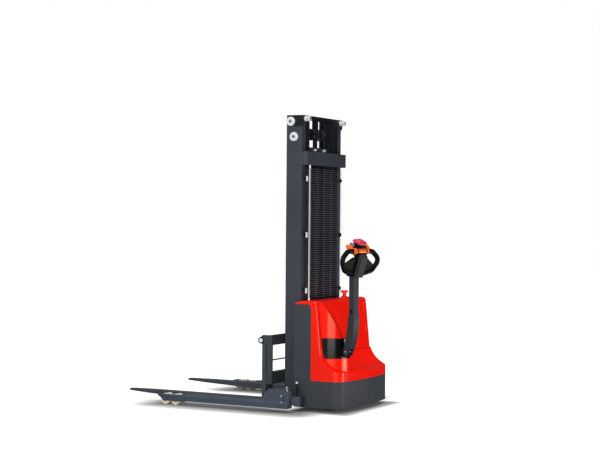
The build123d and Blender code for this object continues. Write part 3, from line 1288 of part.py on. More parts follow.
# Tiller neck: a curved casting whose lower end forks around the lug
NECK_IN = TUBE_RADIUS - TUBE_DEPTH / 2
NECK_OUT = TUBE_RADIUS + TUBE_DEPTH / 2
with BuildPart() as tiller_neck:
    with BuildSketch(TILLER_SIDE.offset(-NECK_WIDTH / 2)):
        with BuildLine():
            heel_in = (TILT_RADIUS - LUG_RADIUS, TILT_Z + LUG_RADIUS / 2)
            heel_out = (TILT_RADIUS + NECK_HEEL, TILT_Z - LUG_RADIUS)
            ThreePointArc(heel_out, (NECK_OUT - NECK_BOW, TILT_Z + NECK_BOW_RISE), (NECK_OUT, NECK_TOP))
            Line((NECK_OUT, NECK_TOP), (NECK_IN, NECK_TOP))
            ThreePointArc((NECK_IN, NECK_TOP), (NECK_IN - NECK_BOW, NECK_TOP - NECK_BOW_DROP), heel_in)
            ThreePointArc(heel_in, (TILT_RADIUS - NECK_HEEL, TILT_Z - NECK_HEEL), heel_out)
        make_face()
        with Locations((TILT_RADIUS, TILT_Z)):
            Circle(TILT_PIN_RADIUS + BORE_GAP, mode=Mode.SUBTRACT)
    extrude(amount=NECK_WIDTH)
    with BuildSketch(TILLER_SIDE.offset(-LUG_WIDTH / 2 - RUN_GAP)):
        with Locations((TILT_RADIUS, TILT_Z)):
            Circle(LUG_RADIUS * 2)
            Rectangle(LUG_RADIUS * 4, LUG_RADIUS * 4, align=(Align.CENTER, Align.MAX))
    extrude(amount=LUG_WIDTH + 2 * RUN_GAP, mode=Mode.SUBTRACT)

# Tiller tube with broad chamfers
with BuildPart() as tiller_tube:
    with BuildSketch(TILLER_LEVEL.offset(NECK_TOP)) as tube_section:
        with Locations((TUBE_RADIUS, 0)):
            Rectangle(TUBE_DEPTH, TUBE_WIDTH)
        chamfer(tube_section.vertices(), TUBE_CHAMFER)
        offset(amount=-TUBE_WALL, mode=Mode.SUBTRACT)
    extrude(amount=HEAD_BASE - NECK_TOP)


# Head cover: a raised plate down the operator's side of the head, sloped off at its top
with BuildPart() as head_cover:
    cover_section = Plane(origin=HEAD_ORIGIN, x_dir=HEAD_FACE.x_dir, z_dir=HEAD_FACE.y_dir)
    with BuildSketch(cover_section.offset(COVER_FOOT)):
        with BuildLine():
            Polyline(
                (-COVER_WIDTH / 2, -PLATE_FRONT),
                (COVER_WIDTH / 2, -PLATE_FRONT),
                (COVER_CROWN / 2, -PLATE_FRONT - COVER_RISE),
                (-COVER_CROWN / 2, -PLATE_FRONT - COVER_RISE),
                close=True,
            )
        make_face()
    extrude(amount=COVER_TOP - COVER_FOOT)
    cover_top = head_cover.faces().sort_by(Axis(HEAD_ORIGIN, HEAD_FACE.y_dir))[-1]
    chamfer(cover_top.edges().sort_by(Axis(HEAD_ORIGIN, HEAD_FACE.z_dir))[-1], COVER_SLOPE)

# Tiller head: a webbed plate on the tube with a closed handle loop on each side and a block across the top
with BuildPart() as tiller_head:
    with BuildSketch(HEAD_FACE.offset(-PLATE_BACK)):
        with BuildLine():
            left_half = [(-u, v) for u, v in reversed(HEAD_OUTLINE)]
            Polyline(*HEAD_OUTLINE, *left_half, close=True)
        make_face()
    extrude(amount=PLATE_BACK + PLATE_FRONT)
    with BuildSketch(TILLER_LEVEL.offset(HEAD_BASE)):
        with Locations((TUBE_RADIUS, 0)):
            Rectangle(TUBE_DEPTH + 2 * HEAD_SOCKET_RIM, TUBE_WIDTH + 6 * HEAD_SOCKET_RIM)
    extrude(amount=HEAD_SOCKET_HEIGHT)
    block_front = THROTTLE_N + HEAD_BLOCK_FRONT
    with BuildSketch(HEAD_SIDE.offset(-HEAD_BLOCK_HALF)):
        with BuildLine():
            Polyline(
                (-PLATE_BACK, HEAD_BLOCK_FOOT),
                (PLATE_FRONT, HEAD_BLOCK_FOOT),
                (PLATE_FRONT, COVER_REST),
                (block_front, COVER_REST),
                (block_front, THROTTLE_V),
                (THROTTLE_N - HEAD_BLOCK_STEP, HEAD_BLOCK_TOP),
                (-HEAD_BLOCK_BACK, HEAD_BLOCK_TOP),
                (-HEAD_BLOCK_BACK, THROTTLE_V),
                close=True,
            )
        make_face()
        with Locations((THROTTLE_N, THROTTLE_V)):
            Circle(HEAD_BLOCK_ROUND)
    extrude(amount=2 * HEAD_BLOCK_HALF)
    with BuildSketch(HEAD_SIDE.offset(-HEAD_BLOCK_HALF)):
        with Locations((-ROCKER_BACK - ROCKER_GAP, HEAD_BLOCK_TOP)):
            Rectangle(
                ROCKER_BACK - ROCKER_FRONT + 2 * ROCKER_GAP,
                HEAD_BLOCK_TOP - ROCKER_FOOT + ROCKER_SWING,
                align=(Align.MIN, Align.MAX),
            )
    extrude(amount=2 * HEAD_BLOCK_HALF, mode=Mode.SUBTRACT)
    with BuildSketch(HEAD_FACE.offset(-HEAD_BLOCK_BACK)):
        with Locations((0, ROCKER_PIVOT)):
            Circle(ROCKER_PIN_RADIUS)
    extrude(amount=HEAD_BLOCK_BACK - POST_FRONT)
    with BuildSketch(HEAD_SIDE.offset(-POST_HALF_WIDTH)):
        with Locations((-POST_FRONT, POST_TOP)):
            Rectangle(POST_BACK - POST_FRONT, POST_TOP - HEAD_BLOCK_TOP, align=(Align.MAX, Align.MAX))
    extrude(amount=2 * POST_HALF_WIDTH)
    grip_root = (GRIP_ROOT, THROTTLE_V, THROTTLE_N)
    grip_shoulder = (GRIP_SHOULDER, THROTTLE_V, THROTTLE_N)
    right_corners = (grip_root, grip_shoulder, GRIP_ELBOW, GRIP_KNEE, GRIP_END)
    for sign in (1, -1):
        corners = [(sign * u, v, n) for u, v, n in right_corners]
        with BuildLine(HEAD_FACE) as grip_path:
            FilletPolyline(*corners, radius=GRIP_BEND)
        grip_start = HEAD_FACE.from_local_coords(corners[0])
        with BuildSketch(Plane(origin=grip_start, z_dir=sign * HEAD_FACE.x_dir)):
            Circle(GRIP_RADIUS)
        sweep(path=grip_path.line)
    add(head_cover.part, mode=Mode.SUBTRACT)
    add(tiller_tube.part, mode=Mode.SUBTRACT)


def vane_middle(reach, angle):
    """Where a throttle vane is centred, seen from the side of the head."""
    return (THROTTLE_N + reach / 2 * cos(radians(angle)), THROTTLE_V + reach / 2 * sin(radians(angle)))


# Throttle: a ring and hub round each grip's root with a paddle, joined by a grooved band across the front
with BuildPart() as throttle_wings:
    for inside in (THROTTLE_INSIDE, -THROTTLE_OUTSIDE):
        with BuildSketch(HEAD_SIDE.offset(inside)):
            with Locations((THROTTLE_N, THROTTLE_V)):
                Circle(THROTTLE_RING)
            with Locations(vane_middle(LOWER_VANE, LOWER_VANE_ANGLE)):
                SlotCenterToCenter(LOWER_VANE, VANE_WIDTH, rotation=LOWER_VANE_ANGLE)
        extrude(amount=THROTTLE_OUTSIDE - THROTTLE_INSIDE)
    for inside in (THROTTLE_OUTSIDE, -THROTTLE_HUB_END):
        with BuildSketch(HEAD_SIDE.offset(inside)):
            with Locations((THROTTLE_N, THROTTLE_V)):
                Circle(THROTTLE_HUB)
        extrude(amount=THROTTLE_HUB_END - THROTTLE_OUTSIDE)
    for inside in (PADDLE_INSIDE, -PADDLE_OUTSIDE):
        with BuildSketch(HEAD_SIDE.offset(inside)):
            with Locations(vane_middle(UPPER_VANE, UPPER_VANE_ANGLE)):
                SlotCenterToCenter(UPPER_VANE, VANE_WIDTH, rotation=UPPER_VANE_ANGLE)
        extrude(amount=PADDLE_OUTSIDE - PADDLE_INSIDE)
    with BuildSketch(HEAD_SIDE.offset(-PADDLE_OUTSIDE)):
        with Locations((THROTTLE_N, THROTTLE_V)):
            Circle(GRIP_RADIUS + RUN_GAP)
    extrude(amount=2 * PADDLE_OUTSIDE, mode=Mode.SUBTRACT)
    with BuildSketch(HEAD_SIDE.offset(-THROTTLE_OUTSIDE)):
        with Locations((THROTTLE_N, THROTTLE_V)):
            Circle(THROTTLE_BAND)
            Circle(THROTTLE_BAND - THROTTLE_WALL, mode=Mode.SUBTRACT)
        with Locations((block_front, THROTTLE_V + BAND_RISE)):
            Rectangle(THROTTLE_BAND, 2 * BAND_HALF, align=(Align.MIN, Align.CENTER), mode=Mode.INTERSECT)
    extrude(amount=2 * THROTTLE_OUTSIDE)
    for groove_side in (THROTTLE_INSIDE - GROOVE_WIDTH, -THROTTLE_INSIDE):
        with BuildSketch(HEAD_SIDE.offset(groove_side)):
            with Locations((THROTTLE_N, THROTTLE_V)):
                Circle(THROTTLE_BAND + RUN_GAP)
                Circle(THROTTLE_BAND - GROOVE_DEPTH, mode=Mode.SUBTRACT)
        extrude(amount=GROOVE_WIDTH, mode=Mode.SUBTRACT)

# Belly button: a domed pad over the guide post on top of the head
with BuildPart() as belly_button:
    with BuildSketch(HEAD_SIDE.offset(-BELLY_WIDTH / 2)):
        with BuildLine():
            Line((-BELLY_BACK, BELLY_FOOT), (-BELLY_FRONT, BELLY_FOOT))
            Line((-BELLY_FRONT, BELLY_FOOT), (-BELLY_FRONT, BELLY_SHOULDER))
            ThreePointArc(
                (-BELLY_FRONT, BELLY_SHOULDER),
                (-(BELLY_FRONT + BELLY_BACK) / 2, BELLY_TOP),
                (-BELLY_BACK, BELLY_SHOULDER),
            )
            Line((-BELLY_BACK, BELLY_SHOULDER), (-BELLY_BACK, BELLY_FOOT))
        make_face()
    extrude(amount=BELLY_WIDTH)
    with BuildSketch(HEAD_SIDE.offset(-POST_HALF_WIDTH - RUN_GAP)):
        with Locations((-POST_FRONT + RUN_GAP, BELLY_FOOT)):
            Rectangle(
                POST_BACK - POST_FRONT + 2 * RUN_GAP,
                POST_TOP - BELLY_FOOT + BELLY_TRAVEL + RUN_GAP,
                align=(Align.MAX, Align.MIN),
            )
    extrude(amount=2 * (POST_HALF_WIDTH + RUN_GAP), mode=Mode.SUBTRACT)

# Lift rocker: a bar on a pin with a thumb end on each side, one to raise the forks and one to lower them
with BuildPart() as lift_rocker:
    with BuildSketch(HEAD_FACE.offset(-ROCKER_BACK)):
        with Locations((0, ROCKER_FOOT)):
            Rectangle(2 * ROCKER_HALF_WIDTH, ROCKER_HEIGHT, align=(Align.CENTER, Align.MIN))
        thumb_side = ROCKER_HALF_WIDTH - ROCKER_THUMB / 2
        with Locations((-thumb_side, ROCKER_FOOT), (thumb_side, ROCKER_FOOT)):
            Rectangle(ROCKER_THUMB, ROCKER_THUMB_TOP - ROCKER_FOOT, align=(Align.CENTER, Align.MIN))
        with Locations((0, ROCKER_PIVOT)):
            Circle(ROCKER_PIN_RADIUS + BORE_GAP, mode=Mode.SUBTRACT)
    extrude(amount=ROCKER_BACK - ROCKER_FRONT)

PIECES = {
    "outer_channel_left": outer_channel_left,
    "outer_channel_right": outer_channel_right,
    "mast_foot": mast_foot,
    "mast_top_tie": mast_top_tie,
    "mast_crossbar": mast_crossbar,
    "guard_mesh": guard_mesh,
    "guard_clips": guard_clips,
    "roller_pins": roller_pins,
    "mast_fasteners": mast_fasteners,
    "lift_cylinder": lift_cylinder,
    "inner_rail_left": inner_rail_left,
    "inner_rail_right": inner_rail_right,
    "crosshead": crosshead,
    "inner_foot_beam": inner_foot_beam,
    "lift_rod": lift_rod,
    "chain_sheave_left": chain_sheave_left,
    "chain_sheave_right": chain_sheave_right,
    "chain_front_runs": chain_front_runs,
    "chain_rear_runs": chain_rear_runs,
    "top_guide_rollers": top_guide_rollers,
    "foot_guide_rollers": foot_guide_rollers,
    "carriage_rollers_lower": carriage_rollers_lower,
    "carriage_rollers_upper": carriage_rollers_upper,
    "carriage_plates": carriage_plates,
    "upper_bar": upper_bar,
    "lower_bar": lower_bar,
    "end_plates": end_plates,
    "hanger_shaft": hanger_shaft,
    "stay_rod": stay_rod,
    "fork_left": fork_left,
    "fork_right": fork_right,
    "leg_left": leg_left,
    "leg_right": leg_right,
    "load_axles_left": load_axles_left,
    "load_axles_right": load_axles_right,
    "load_roller_left_rear": load_roller_left_rear,
    "load_roller_left_front": load_roller_left_front,
    "load_roller_right_rear": load_roller_right_rear,
    "load_roller_right_front": load_roller_right_front,
    "leg_sleeve": leg_sleeve,
    "clamp_screws": clamp_screws,
    "skirt": skirt,
    "base_frame": base_frame,
    "hood_upper": hood_upper,
    "hood_lower": hood_lower,
    "battery": battery,
    "hydraulic_unit": hydraulic_unit,
    "e_stop_button": e_stop_button,
    "drive_unit": drive_unit,
    "drive_wheel": drive_wheel,
    "castor_fork": castor_fork,
    "castor_wheel": castor_wheel,
    "steering_head": steering_head,
    "tiller_neck": tiller_neck,
    "tiller_tube": tiller_tube,
    "tiller_head": tiller_head,
    "head_cover": head_cover,
    "throttle_wings": throttle_wings,
    "belly_button": belly_button,
    "lift_rocker": lift_rocker,
}
os.makedirs("parts", exist_ok=True)
for name, piece in PIECES.items():
    piece.part.label = name
    export_step(piece.part, f"parts/{name}.step")
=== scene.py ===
import json
from math import cos, pi, radians, sin, sqrt

import bmesh
import bpy
from mathutils import Matrix, Vector


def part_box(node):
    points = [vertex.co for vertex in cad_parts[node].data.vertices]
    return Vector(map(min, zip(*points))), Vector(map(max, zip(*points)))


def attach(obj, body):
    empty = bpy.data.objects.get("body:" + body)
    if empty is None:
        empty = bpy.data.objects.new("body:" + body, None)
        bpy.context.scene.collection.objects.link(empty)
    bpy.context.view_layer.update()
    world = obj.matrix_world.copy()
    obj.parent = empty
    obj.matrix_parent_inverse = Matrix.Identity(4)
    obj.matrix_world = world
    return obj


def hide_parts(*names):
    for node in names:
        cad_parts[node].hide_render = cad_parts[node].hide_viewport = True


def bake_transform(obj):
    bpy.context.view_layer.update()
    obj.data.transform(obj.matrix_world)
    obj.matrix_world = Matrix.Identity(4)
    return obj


# Pedestrian electric stacker: finishes, small fittings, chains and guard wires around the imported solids.
# Sizes are metres, in the truck's own frame: X forward along the forks, Y to the truck's left, Z up.

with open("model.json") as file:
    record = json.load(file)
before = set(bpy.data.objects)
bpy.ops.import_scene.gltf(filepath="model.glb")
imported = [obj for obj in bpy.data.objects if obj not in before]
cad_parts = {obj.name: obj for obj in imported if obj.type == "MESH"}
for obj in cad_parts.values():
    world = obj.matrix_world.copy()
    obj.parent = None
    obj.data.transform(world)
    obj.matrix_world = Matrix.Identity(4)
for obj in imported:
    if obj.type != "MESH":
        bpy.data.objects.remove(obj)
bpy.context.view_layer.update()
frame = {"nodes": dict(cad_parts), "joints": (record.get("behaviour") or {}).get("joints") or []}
NODES = frame["nodes"]
JOINTS = {joint["name"]: joint for joint in frame["joints"]}

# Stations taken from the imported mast
CHANNEL_LOW, CHANNEL_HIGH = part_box("outer_channel_left")
MAST_BACK = CHANNEL_LOW.x
MAST_MID = (CHANNEL_LOW.x + CHANNEL_HIGH.x) / 2
MAST_HALF = CHANNEL_HIGH.y

# Camera of the photograph, placed from the mast's rear face
FRAME_WIDTH = 600
FOCAL_PIXELS = 1444.0
SENSOR_WIDTH = 36.0
CAMERA_FROM_MAST = Vector((-4.788, 9.310, 1.320))
CAMERA_YAW = radians(61.94)
CAMERA_PITCH = radians(-0.10)
CAMERA_ROLL = radians(0.49)
CAMERA_REACH = 100.0


def photo_camera():
    """The camera at the photograph's place, aim and focal length."""
    level = cos(CAMERA_PITCH)
    aim = Vector((level * cos(CAMERA_YAW), -level * sin(CAMERA_YAW), sin(CAMERA_PITCH)))
    level_right = aim.cross(Vector((0, 0, 1))).normalized()
    level_up = level_right.cross(aim)
    right = level_right * cos(CAMERA_ROLL) + level_up * sin(CAMERA_ROLL)
    up = level_up * cos(CAMERA_ROLL) - level_right * sin(CAMERA_ROLL)
    lens = bpy.data.cameras.new("photo_camera")
    lens.sensor_width = SENSOR_WIDTH
    lens.lens = FOCAL_PIXELS / FRAME_WIDTH * SENSOR_WIDTH
    lens.clip_end = CAMERA_REACH
    camera = bpy.data.objects.new("photo_camera", lens)
    place = CAMERA_FROM_MAST + Vector((MAST_BACK, 0, 0))
    turn = Matrix((right, up, -aim)).transposed().to_4x4()
    camera.matrix_world = Matrix.Translation(place) @ turn
    bpy.context.scene.collection.objects.link(camera)
    bpy.context.scene.camera = camera


# Shader helpers
def add_node(tree, kind, **settings):
    node = tree.nodes.new(kind)
    for key, value in settings.items():
        setattr(node, key, value)
    return node


def feed(tree, socket, value):
    """Sets a socket, or links it where the value is another socket."""
    if isinstance(value, bpy.types.NodeSocket):
        tree.links.new(value, socket)
    else:
        socket.default_value = value


def maths(tree, operation, first, second=0.5):
    """A maths node; an operation on one value leaves the second unused."""
    node = add_node(tree, "ShaderNodeMath", operation=operation)
    feed(tree, node.inputs[0], first)
    feed(tree, node.inputs[1], second)
    return node.outputs[0]


def spread(tree, value, low, high, new_low, new_high):
    """Maps a value from one range to another, kept inside it."""
    node = add_node(tree, "ShaderNodeMapRange")
    for socket, number in zip(node.inputs, (value, low, high, new_low, new_high)):
        feed(tree, socket, number)
    return node.outputs[0]


def blend_colour(tree, share, first, second):
    node = add_node(tree, "ShaderNodeMix", data_type="RGBA")
    feed(tree, node.inputs["Factor"], share)
    feed(tree, node.inputs[6], first)
    feed(tree, node.inputs[7], second)
    return node.outputs[2]


def noise(tree, scale, detail=2.0, where=None):
    node = add_node(tree, "ShaderNodeTexNoise")
    feed(tree, node.inputs["Scale"], scale)
    node.inputs["Detail"].default_value = detail
    if where is None:
        where = add_node(tree, "ShaderNodeTexCoord").outputs["Object"]
    tree.links.new(where, node.inputs["Vector"])
    return node.outputs["Fac"]


# Scales, detail and limits of the noise behind wear, dust, marks and streaks
EDGE_TURN = (0.97, 0.80)
WEAR_SCALE = 38.0
WEAR_PATCHES = (0.50, 0.66)
DUST_FACING = (0.55, 1.0)
DUST_SCALE = 9.0
DUST_PATCHES = (0.35, 0.75)
DUST_LEAST = 0.2
MARK_PATCHES = (0.3, 0.7)
FINE_DETAIL = 6.0
RIPPLE_DETAIL = 3.0
STREAK_DETAIL = 4.0


def shader_group(name, inputs, output):
    """An empty node group with number inputs and one number output."""
    tree = bpy.data.node_groups.new(name, "ShaderNodeTree")
    for label, value in inputs.items():
        socket = tree.interface.new_socket(label, in_out="INPUT", socket_type="NodeSocketFloat")
        socket.default_value = value
    tree.interface.new_socket(output, in_out="OUTPUT", socket_type="NodeSocketFloat")
    return tree, add_node(tree, "NodeGroupInput").outputs, add_node(tree, "NodeGroupOutput").inputs[output]


def worn_edges_group():
    """Mask of edges rubbed bare: high where the surface turns sharply, broken up by noise."""
    tree, given, mask = shader_group("worn edges", {"Radius": 0.002, "Amount": 0.5}, "Mask")
    rounded = add_node(tree, "ShaderNodeBevel", samples=4)
    tree.links.new(given["Radius"], rounded.inputs["Radius"])
    flat = add_node(tree, "ShaderNodeNewGeometry")
    facing = add_node(tree, "ShaderNodeVectorMath", operation="DOT_PRODUCT")
    tree.links.new(rounded.outputs[0], facing.inputs[0])
    tree.links.new(flat.outputs["Normal"], facing.inputs[1])
    turn = spread(tree, facing.outputs["Value"], *EDGE_TURN, 0.0, 1.0)
    patches = spread(tree, noise(tree, WEAR_SCALE, FINE_DETAIL), *WEAR_PATCHES, 0.0, 1.0)
    worn = maths(tree, "MULTIPLY", turn, patches)
    tree.links.new(maths(tree, "MULTIPLY", worn, given["Amount"]), mask)
    return tree


def settled_dust_group():
    """Mask of dust lying on faces that look up."""
    tree, given, mask = shader_group("settled dust", {"Amount": 0.3}, "Mask")
    normal = add_node(tree, "ShaderNodeSeparateXYZ")
    tree.links.new(add_node(tree, "ShaderNodeNewGeometry").outputs["Normal"], normal.inputs[0])
    upward = spread(tree, normal.outputs["Z"], *DUST_FACING, 0.0, 1.0)
    patches = spread(tree, noise(tree, DUST_SCALE, FINE_DETAIL), *DUST_PATCHES, DUST_LEAST, 1.0)
    lying = maths(tree, "MULTIPLY", upward, patches)
    tree.links.new(maths(tree, "MULTIPLY", lying, given["Amount"]), mask)
    return tree


def surface_ripple_group():
    """Height of sprayed paint's orange peel or a moulding's fine grain."""
    tree, given, height = shader_group("surface ripple", {"Scale": 400.0}, "Height")
    tree.links.new(noise(tree, given["Scale"], RIPPLE_DETAIL), height)
    return tree


def handling_marks_group():
    """Cloudy variation left by cleaning and handling, from 0 to 1."""
    tree, given, marks = shader_group("handling marks", {"Scale": 6.0}, "Marks")
    clouds = noise(tree, given["Scale"], FINE_DETAIL)
    tree.links.new(spread(tree, clouds, *MARK_PATCHES, 0.0, 1.0), marks)
    return tree


def drawn_lines_group():
    """Fine streaks left by turning, drawing or brushing, stretched along chosen axes."""
    spacing = {"Across X": 300.0, "Across Y": 300.0, "Across Z": 300.0}
    tree, given, lines = shader_group("drawn lines", spacing, "Lines")
    scale = add_node(tree, "ShaderNodeCombineXYZ")
    for axis in "XYZ":
        tree.links.new(given[f"Across {axis}"], scale.inputs[axis])
    place = add_node(tree, "ShaderNodeVectorMath", operation="MULTIPLY")
    tree.links.new(add_node(tree, "ShaderNodeTexCoord").outputs["Object"], place.inputs[0])
    tree.links.new(scale.outputs[0], place.inputs[1])
    tree.links.new(noise(tree, 1.0, STREAK_DETAIL, place.outputs[0]), lines)
    return tree


WORN_EDGES = worn_edges_group()
SETTLED_DUST = settled_dust_group()
SURFACE_RIPPLE = surface_ripple_group()
HANDLING_MARKS = handling_marks_group()
DRAWN_LINES = drawn_lines_group()
WHITE = (1, 1, 1, 1)
BLACK = (0, 0, 0, 1)
DUST_COLOUR = (0.30, 0.28, 0.25, 1)
BARE_STEEL = (0.42, 0.42, 0.43, 1)


def linear(red, green, blue):
    """A colour given as 0 to 255 screen values, for a shader socket."""
    values = []
    for channel in (red, green, blue):
        share = channel / 255
        values.append(share / 12.92 if share <= 0.04045 else ((share + 0.055) / 1.055) ** 2.4)
    return (*values, 1)


def shade(colour, factor):
    return (*[min(1.0, channel * factor) for channel in colour[:3]], 1)


def use_group(tree, group, **values):
    node = add_node(tree, "ShaderNodeGroup", node_tree=group)
    for label, value in values.items():
        node.inputs[label.replace("_", " ")].default_value = value
    return node.outputs[0]


def new_material(name):
    material = bpy.data.materials.new(name)
    material.use_nodes = True
    return material, material.node_tree, material.node_tree.nodes["Principled BSDF"]


def add_bump(tree, shader, height, strength, distance):
    """Fine relief on a surface, from a height mask."""
    bump = add_node(tree, "ShaderNodeBump")
    bump.inputs["Strength"].default_value = strength
    bump.inputs["Distance"].default_value = distance
    tree.links.new(height, bump.inputs["Height"])
    tree.links.new(bump.outputs[0], shader.inputs["Normal"])


# Finishes: ripple and grain as (scale, strength), clouds as shades of the colour, swings of the roughness
RIPPLE_HEIGHT = 0.0002
PAINT_PEEL = (260.0, 0.12)
PAINT_WEAR_RADIUS = 0.0022
PAINT_CLOUD_SCALE = 5.0
PAINT_CLOUDS = (0.92, 1.08)
PAINT_SWING = (-0.05, 0.08)
PLASTIC_CLOUD_SCALE = 4.0
PLASTIC_CLOUDS = (0.95, 1.05)
PLASTIC_SWING = (-0.04, 0.06)
COAT_ROUGHNESS = 0.05
METAL_TARNISH = (0.80, 1.05)
METAL_SWING = (-0.08, 0.12)
STREAK_SCALES = {"Across_X": 60.0, "Across_Y": 60.0, "Across_Z": 900.0}
STREAK_RANGE = (0.3, 0.7)
STREAK_BUMP = (0.15, 0.0001)
SCUFF_SCALE = 22.0
SCUFF_RANGE = (0.45, 1.0)
SCUFF_SHADE = 0.35
SCUFF_SWING = (0.0, 0.2)
TREAD_GRAIN = (700.0, 0.2)


def add_ripple(tree, shader, scale, strength):
    ripple = use_group(tree, SURFACE_RIPPLE, Scale=scale)
    add_bump(tree, shader, ripple, strength, RIPPLE_HEIGHT)


def vary_roughness(tree, shader, mask, span, roughness, swing):
    """Roughness that swings about its usual value as the mask runs through its span."""
    varied = spread(tree, mask, *span, roughness + swing[0], roughness + swing[1])
    tree.links.new(varied, shader.inputs["Roughness"])


def clouded(tree, marks, colour, depths):
    """The colour, a little darker or lighter by the handling marks."""
    return blend_colour(tree, marks, shade(colour, depths[0]), shade(colour, depths[1]))


def painted_steel(name, colour, roughness=0.42, wear=0.35, dust=0.10, gloss=0.16):
    """Sprayed satin paint over steel: orange peel, cloudy sheen, rubbed edges and a little dust."""
    material, tree, shader = new_material(name)
    shader.inputs["Specular IOR Level"].default_value = gloss
    marks = use_group(tree, HANDLING_MARKS, Scale=PAINT_CLOUD_SCALE)
    worn = use_group(tree, WORN_EDGES, Radius=PAINT_WEAR_RADIUS, Amount=wear)
    dusty = use_group(tree, SETTLED_DUST, Amount=dust)
    rubbed = blend_colour(tree, worn, clouded(tree, marks, colour, PAINT_CLOUDS), BARE_STEEL)
    tree.links.new(blend_colour(tree, dusty, rubbed, DUST_COLOUR), shader.inputs["Base Color"])
    tree.links.new(worn, shader.inputs["Metallic"])
    vary_roughness(tree, shader, marks, (0.0, 1.0), roughness, PAINT_SWING)
    add_ripple(tree, shader, *PAINT_PEEL)
    return material


def moulded_plastic(name, colour, roughness=0.35, grain=900.0, depth=0.10, coat=0.0, dust=0.05, gloss=0.2,
                    tint=WHITE):
    """Moulded plastic: even colour with faint clouding, fine grain and an optional gloss coat."""
    material, tree, shader = new_material(name)
    shader.inputs["Specular IOR Level"].default_value = gloss
    shader.inputs["Specular Tint"].default_value = tint
    marks = use_group(tree, HANDLING_MARKS, Scale=PLASTIC_CLOUD_SCALE)
    dusty = use_group(tree, SETTLED_DUST, Amount=dust)
    body = clouded(tree, marks, colour, PLASTIC_CLOUDS)
    tree.links.new(blend_colour(tree, dusty, body, DUST_COLOUR), shader.inputs["Base Color"])
    vary_roughness(tree, shader, marks, (0.0, 1.0), roughness, PLASTIC_SWING)
    shader.inputs["Coat Weight"].default_value = coat
    shader.inputs["Coat Roughness"].default_value = COAT_ROUGHNESS
    add_ripple(tree, shader, grain, depth)
    return material


def bare_metal(name, colour, roughness=0.3, marks_scale=14.0):
    """Plated or machined metal with drawn lines and cloudy tarnish."""
    material, tree, shader = new_material(name)
    marks = use_group(tree, HANDLING_MARKS, Scale=marks_scale)
    streaks = use_group(tree, DRAWN_LINES, **STREAK_SCALES)
    tree.links.new(clouded(tree, marks, colour, METAL_TARNISH), shader.inputs["Base Color"])
    vary_roughness(tree, shader, streaks, STREAK_RANGE, roughness, METAL_SWING)
    shader.inputs["Metallic"].default_value = 1.0
    add_bump(tree, shader, streaks, *STREAK_BUMP)
    return material


def rolled_tread(name, colour, roughness=0.5, dirt=0.6):
    """Polyurethane tread: waxy sheen with dark scuffs picked up from the floor."""
    material, tree, shader = new_material(name)
    marks = use_group(tree, HANDLING_MARKS, Scale=SCUFF_SCALE)
    scuffs = spread(tree, marks, *SCUFF_RANGE, 0.0, dirt)
    soiled = blend_colour(tree, scuffs, colour, shade(colour, SCUFF_SHADE))
    tree.links.new(soiled, shader.inputs["Base Color"])
    vary_roughness(tree, shader, scuffs, (0.0, 1.0), roughness, SCUFF_SWING)
    add_ripple(tree, shader, *TREAD_GRAIN)
    return material


WARM_GLOSS = (1.0, 0.66, 0.38, 1)
RED_COVER = moulded_plastic("red_cover", linear(246, 18, 1), 0.20, 500.0, 0.04, coat=0.12, dust=0.02,
                            gloss=0.42, tint=WARM_GLOSS)
GREY_PAINT = painted_steel("grey_paint", linear(60, 63, 68))
MAST_PAINT = painted_steel("mast_paint", linear(60, 65, 72), wear=0.25, dust=0.05)
# The top tie's grey is darkened to paint the shade that lies on its rear plate.
TIE_PAINTED_SHADE = painted_steel("tie_painted_shade", linear(26, 28, 33), wear=0.25, dust=0.05, gloss=0.12)
# The inner mast's grey is darkened to paint the shade inside the mast.
INNER_PAINTED_SHADE = painted_steel("inner_painted_shade", linear(26, 29, 35), wear=0.25, dust=0.05, gloss=0.12)
LEG_PAINT = painted_steel("leg_paint", linear(70, 77, 90), wear=0.45, dust=0.12)
FORK_PAINT = painted_steel("fork_paint", linear(67, 72, 80), wear=0.45, dust=0.12)
BLACK_PAINT = painted_steel("black_paint", linear(16, 17, 19), 0.40, wear=0.15, dust=0.05, gloss=0.15)
BLACK_PLASTIC = moulded_plastic("black_plastic", linear(8, 8, 10), 0.38, 1200.0, 0.25, gloss=0.08)
GLOSS_BLACK = moulded_plastic("gloss_black", linear(7, 7, 8), 0.14, 800.0, 0.03, gloss=0.28, dust=0.0)
GREY_PLASTIC = moulded_plastic("grey_plastic", linear(50, 52, 56), 0.48, 1300.0, 0.25, gloss=0.14)
THUMB_GREY = moulded_plastic("thumb_grey", linear(118, 122, 128), 0.45, 1300.0, 0.2)
ORANGE_PLASTIC = moulded_plastic("orange_plastic", linear(250, 112, 26), 0.32, 900.0, 0.10, coat=0.1)
CRIMSON_PLASTIC = moulded_plastic("crimson_plastic", linear(205, 46, 82), 0.36, 900.0, 0.12, coat=0.1)
STOP_RED = moulded_plastic("stop_red", linear(226, 26, 12), 0.28, 700.0, 0.06, coat=0.2)
NECK_PAINT = painted_steel("neck_paint", linear(46, 49, 54), 0.45, wear=0.25, dust=0.05)
ZINC = bare_metal("zinc", linear(208, 210, 214), 0.24)
# Zinc fittings: a near-white diffuse coat with no metal shine, paler than zinc, painting the bright
# reflection that plated zinc shows.
ZINC_PAINTED_REFLECTION = painted_steel("zinc_painted_reflection", linear(222, 225, 230), 0.34, wear=0.0, dust=0.04, gloss=0.5)
STEEL = bare_metal("steel", linear(150, 152, 156), 0.32)
SHEAVE_STEEL = bare_metal("sheave_steel", linear(96, 97, 100), 0.28)
CHAIN_STEEL = bare_metal("chain_steel", linear(92, 92, 94), 0.38, marks_scale=60.0)
GUARD_WIRE = painted_steel("guard_wire", linear(86, 90, 97), 0.4, wear=0.15, dust=0.05)
CREAM_TREAD = rolled_tread("cream_tread", linear(236, 226, 194), dirt=0.4)
DARK_TREAD = rolled_tread("dark_tread", linear(62, 50, 42))
BATTERY_CASE = moulded_plastic("battery_case", linear(52, 53, 56), 0.5, 600.0, 0.2)
MACHINE_GREY = painted_steel("machine_grey", linear(112, 115, 118), 0.5, wear=0.1, dust=0.2)

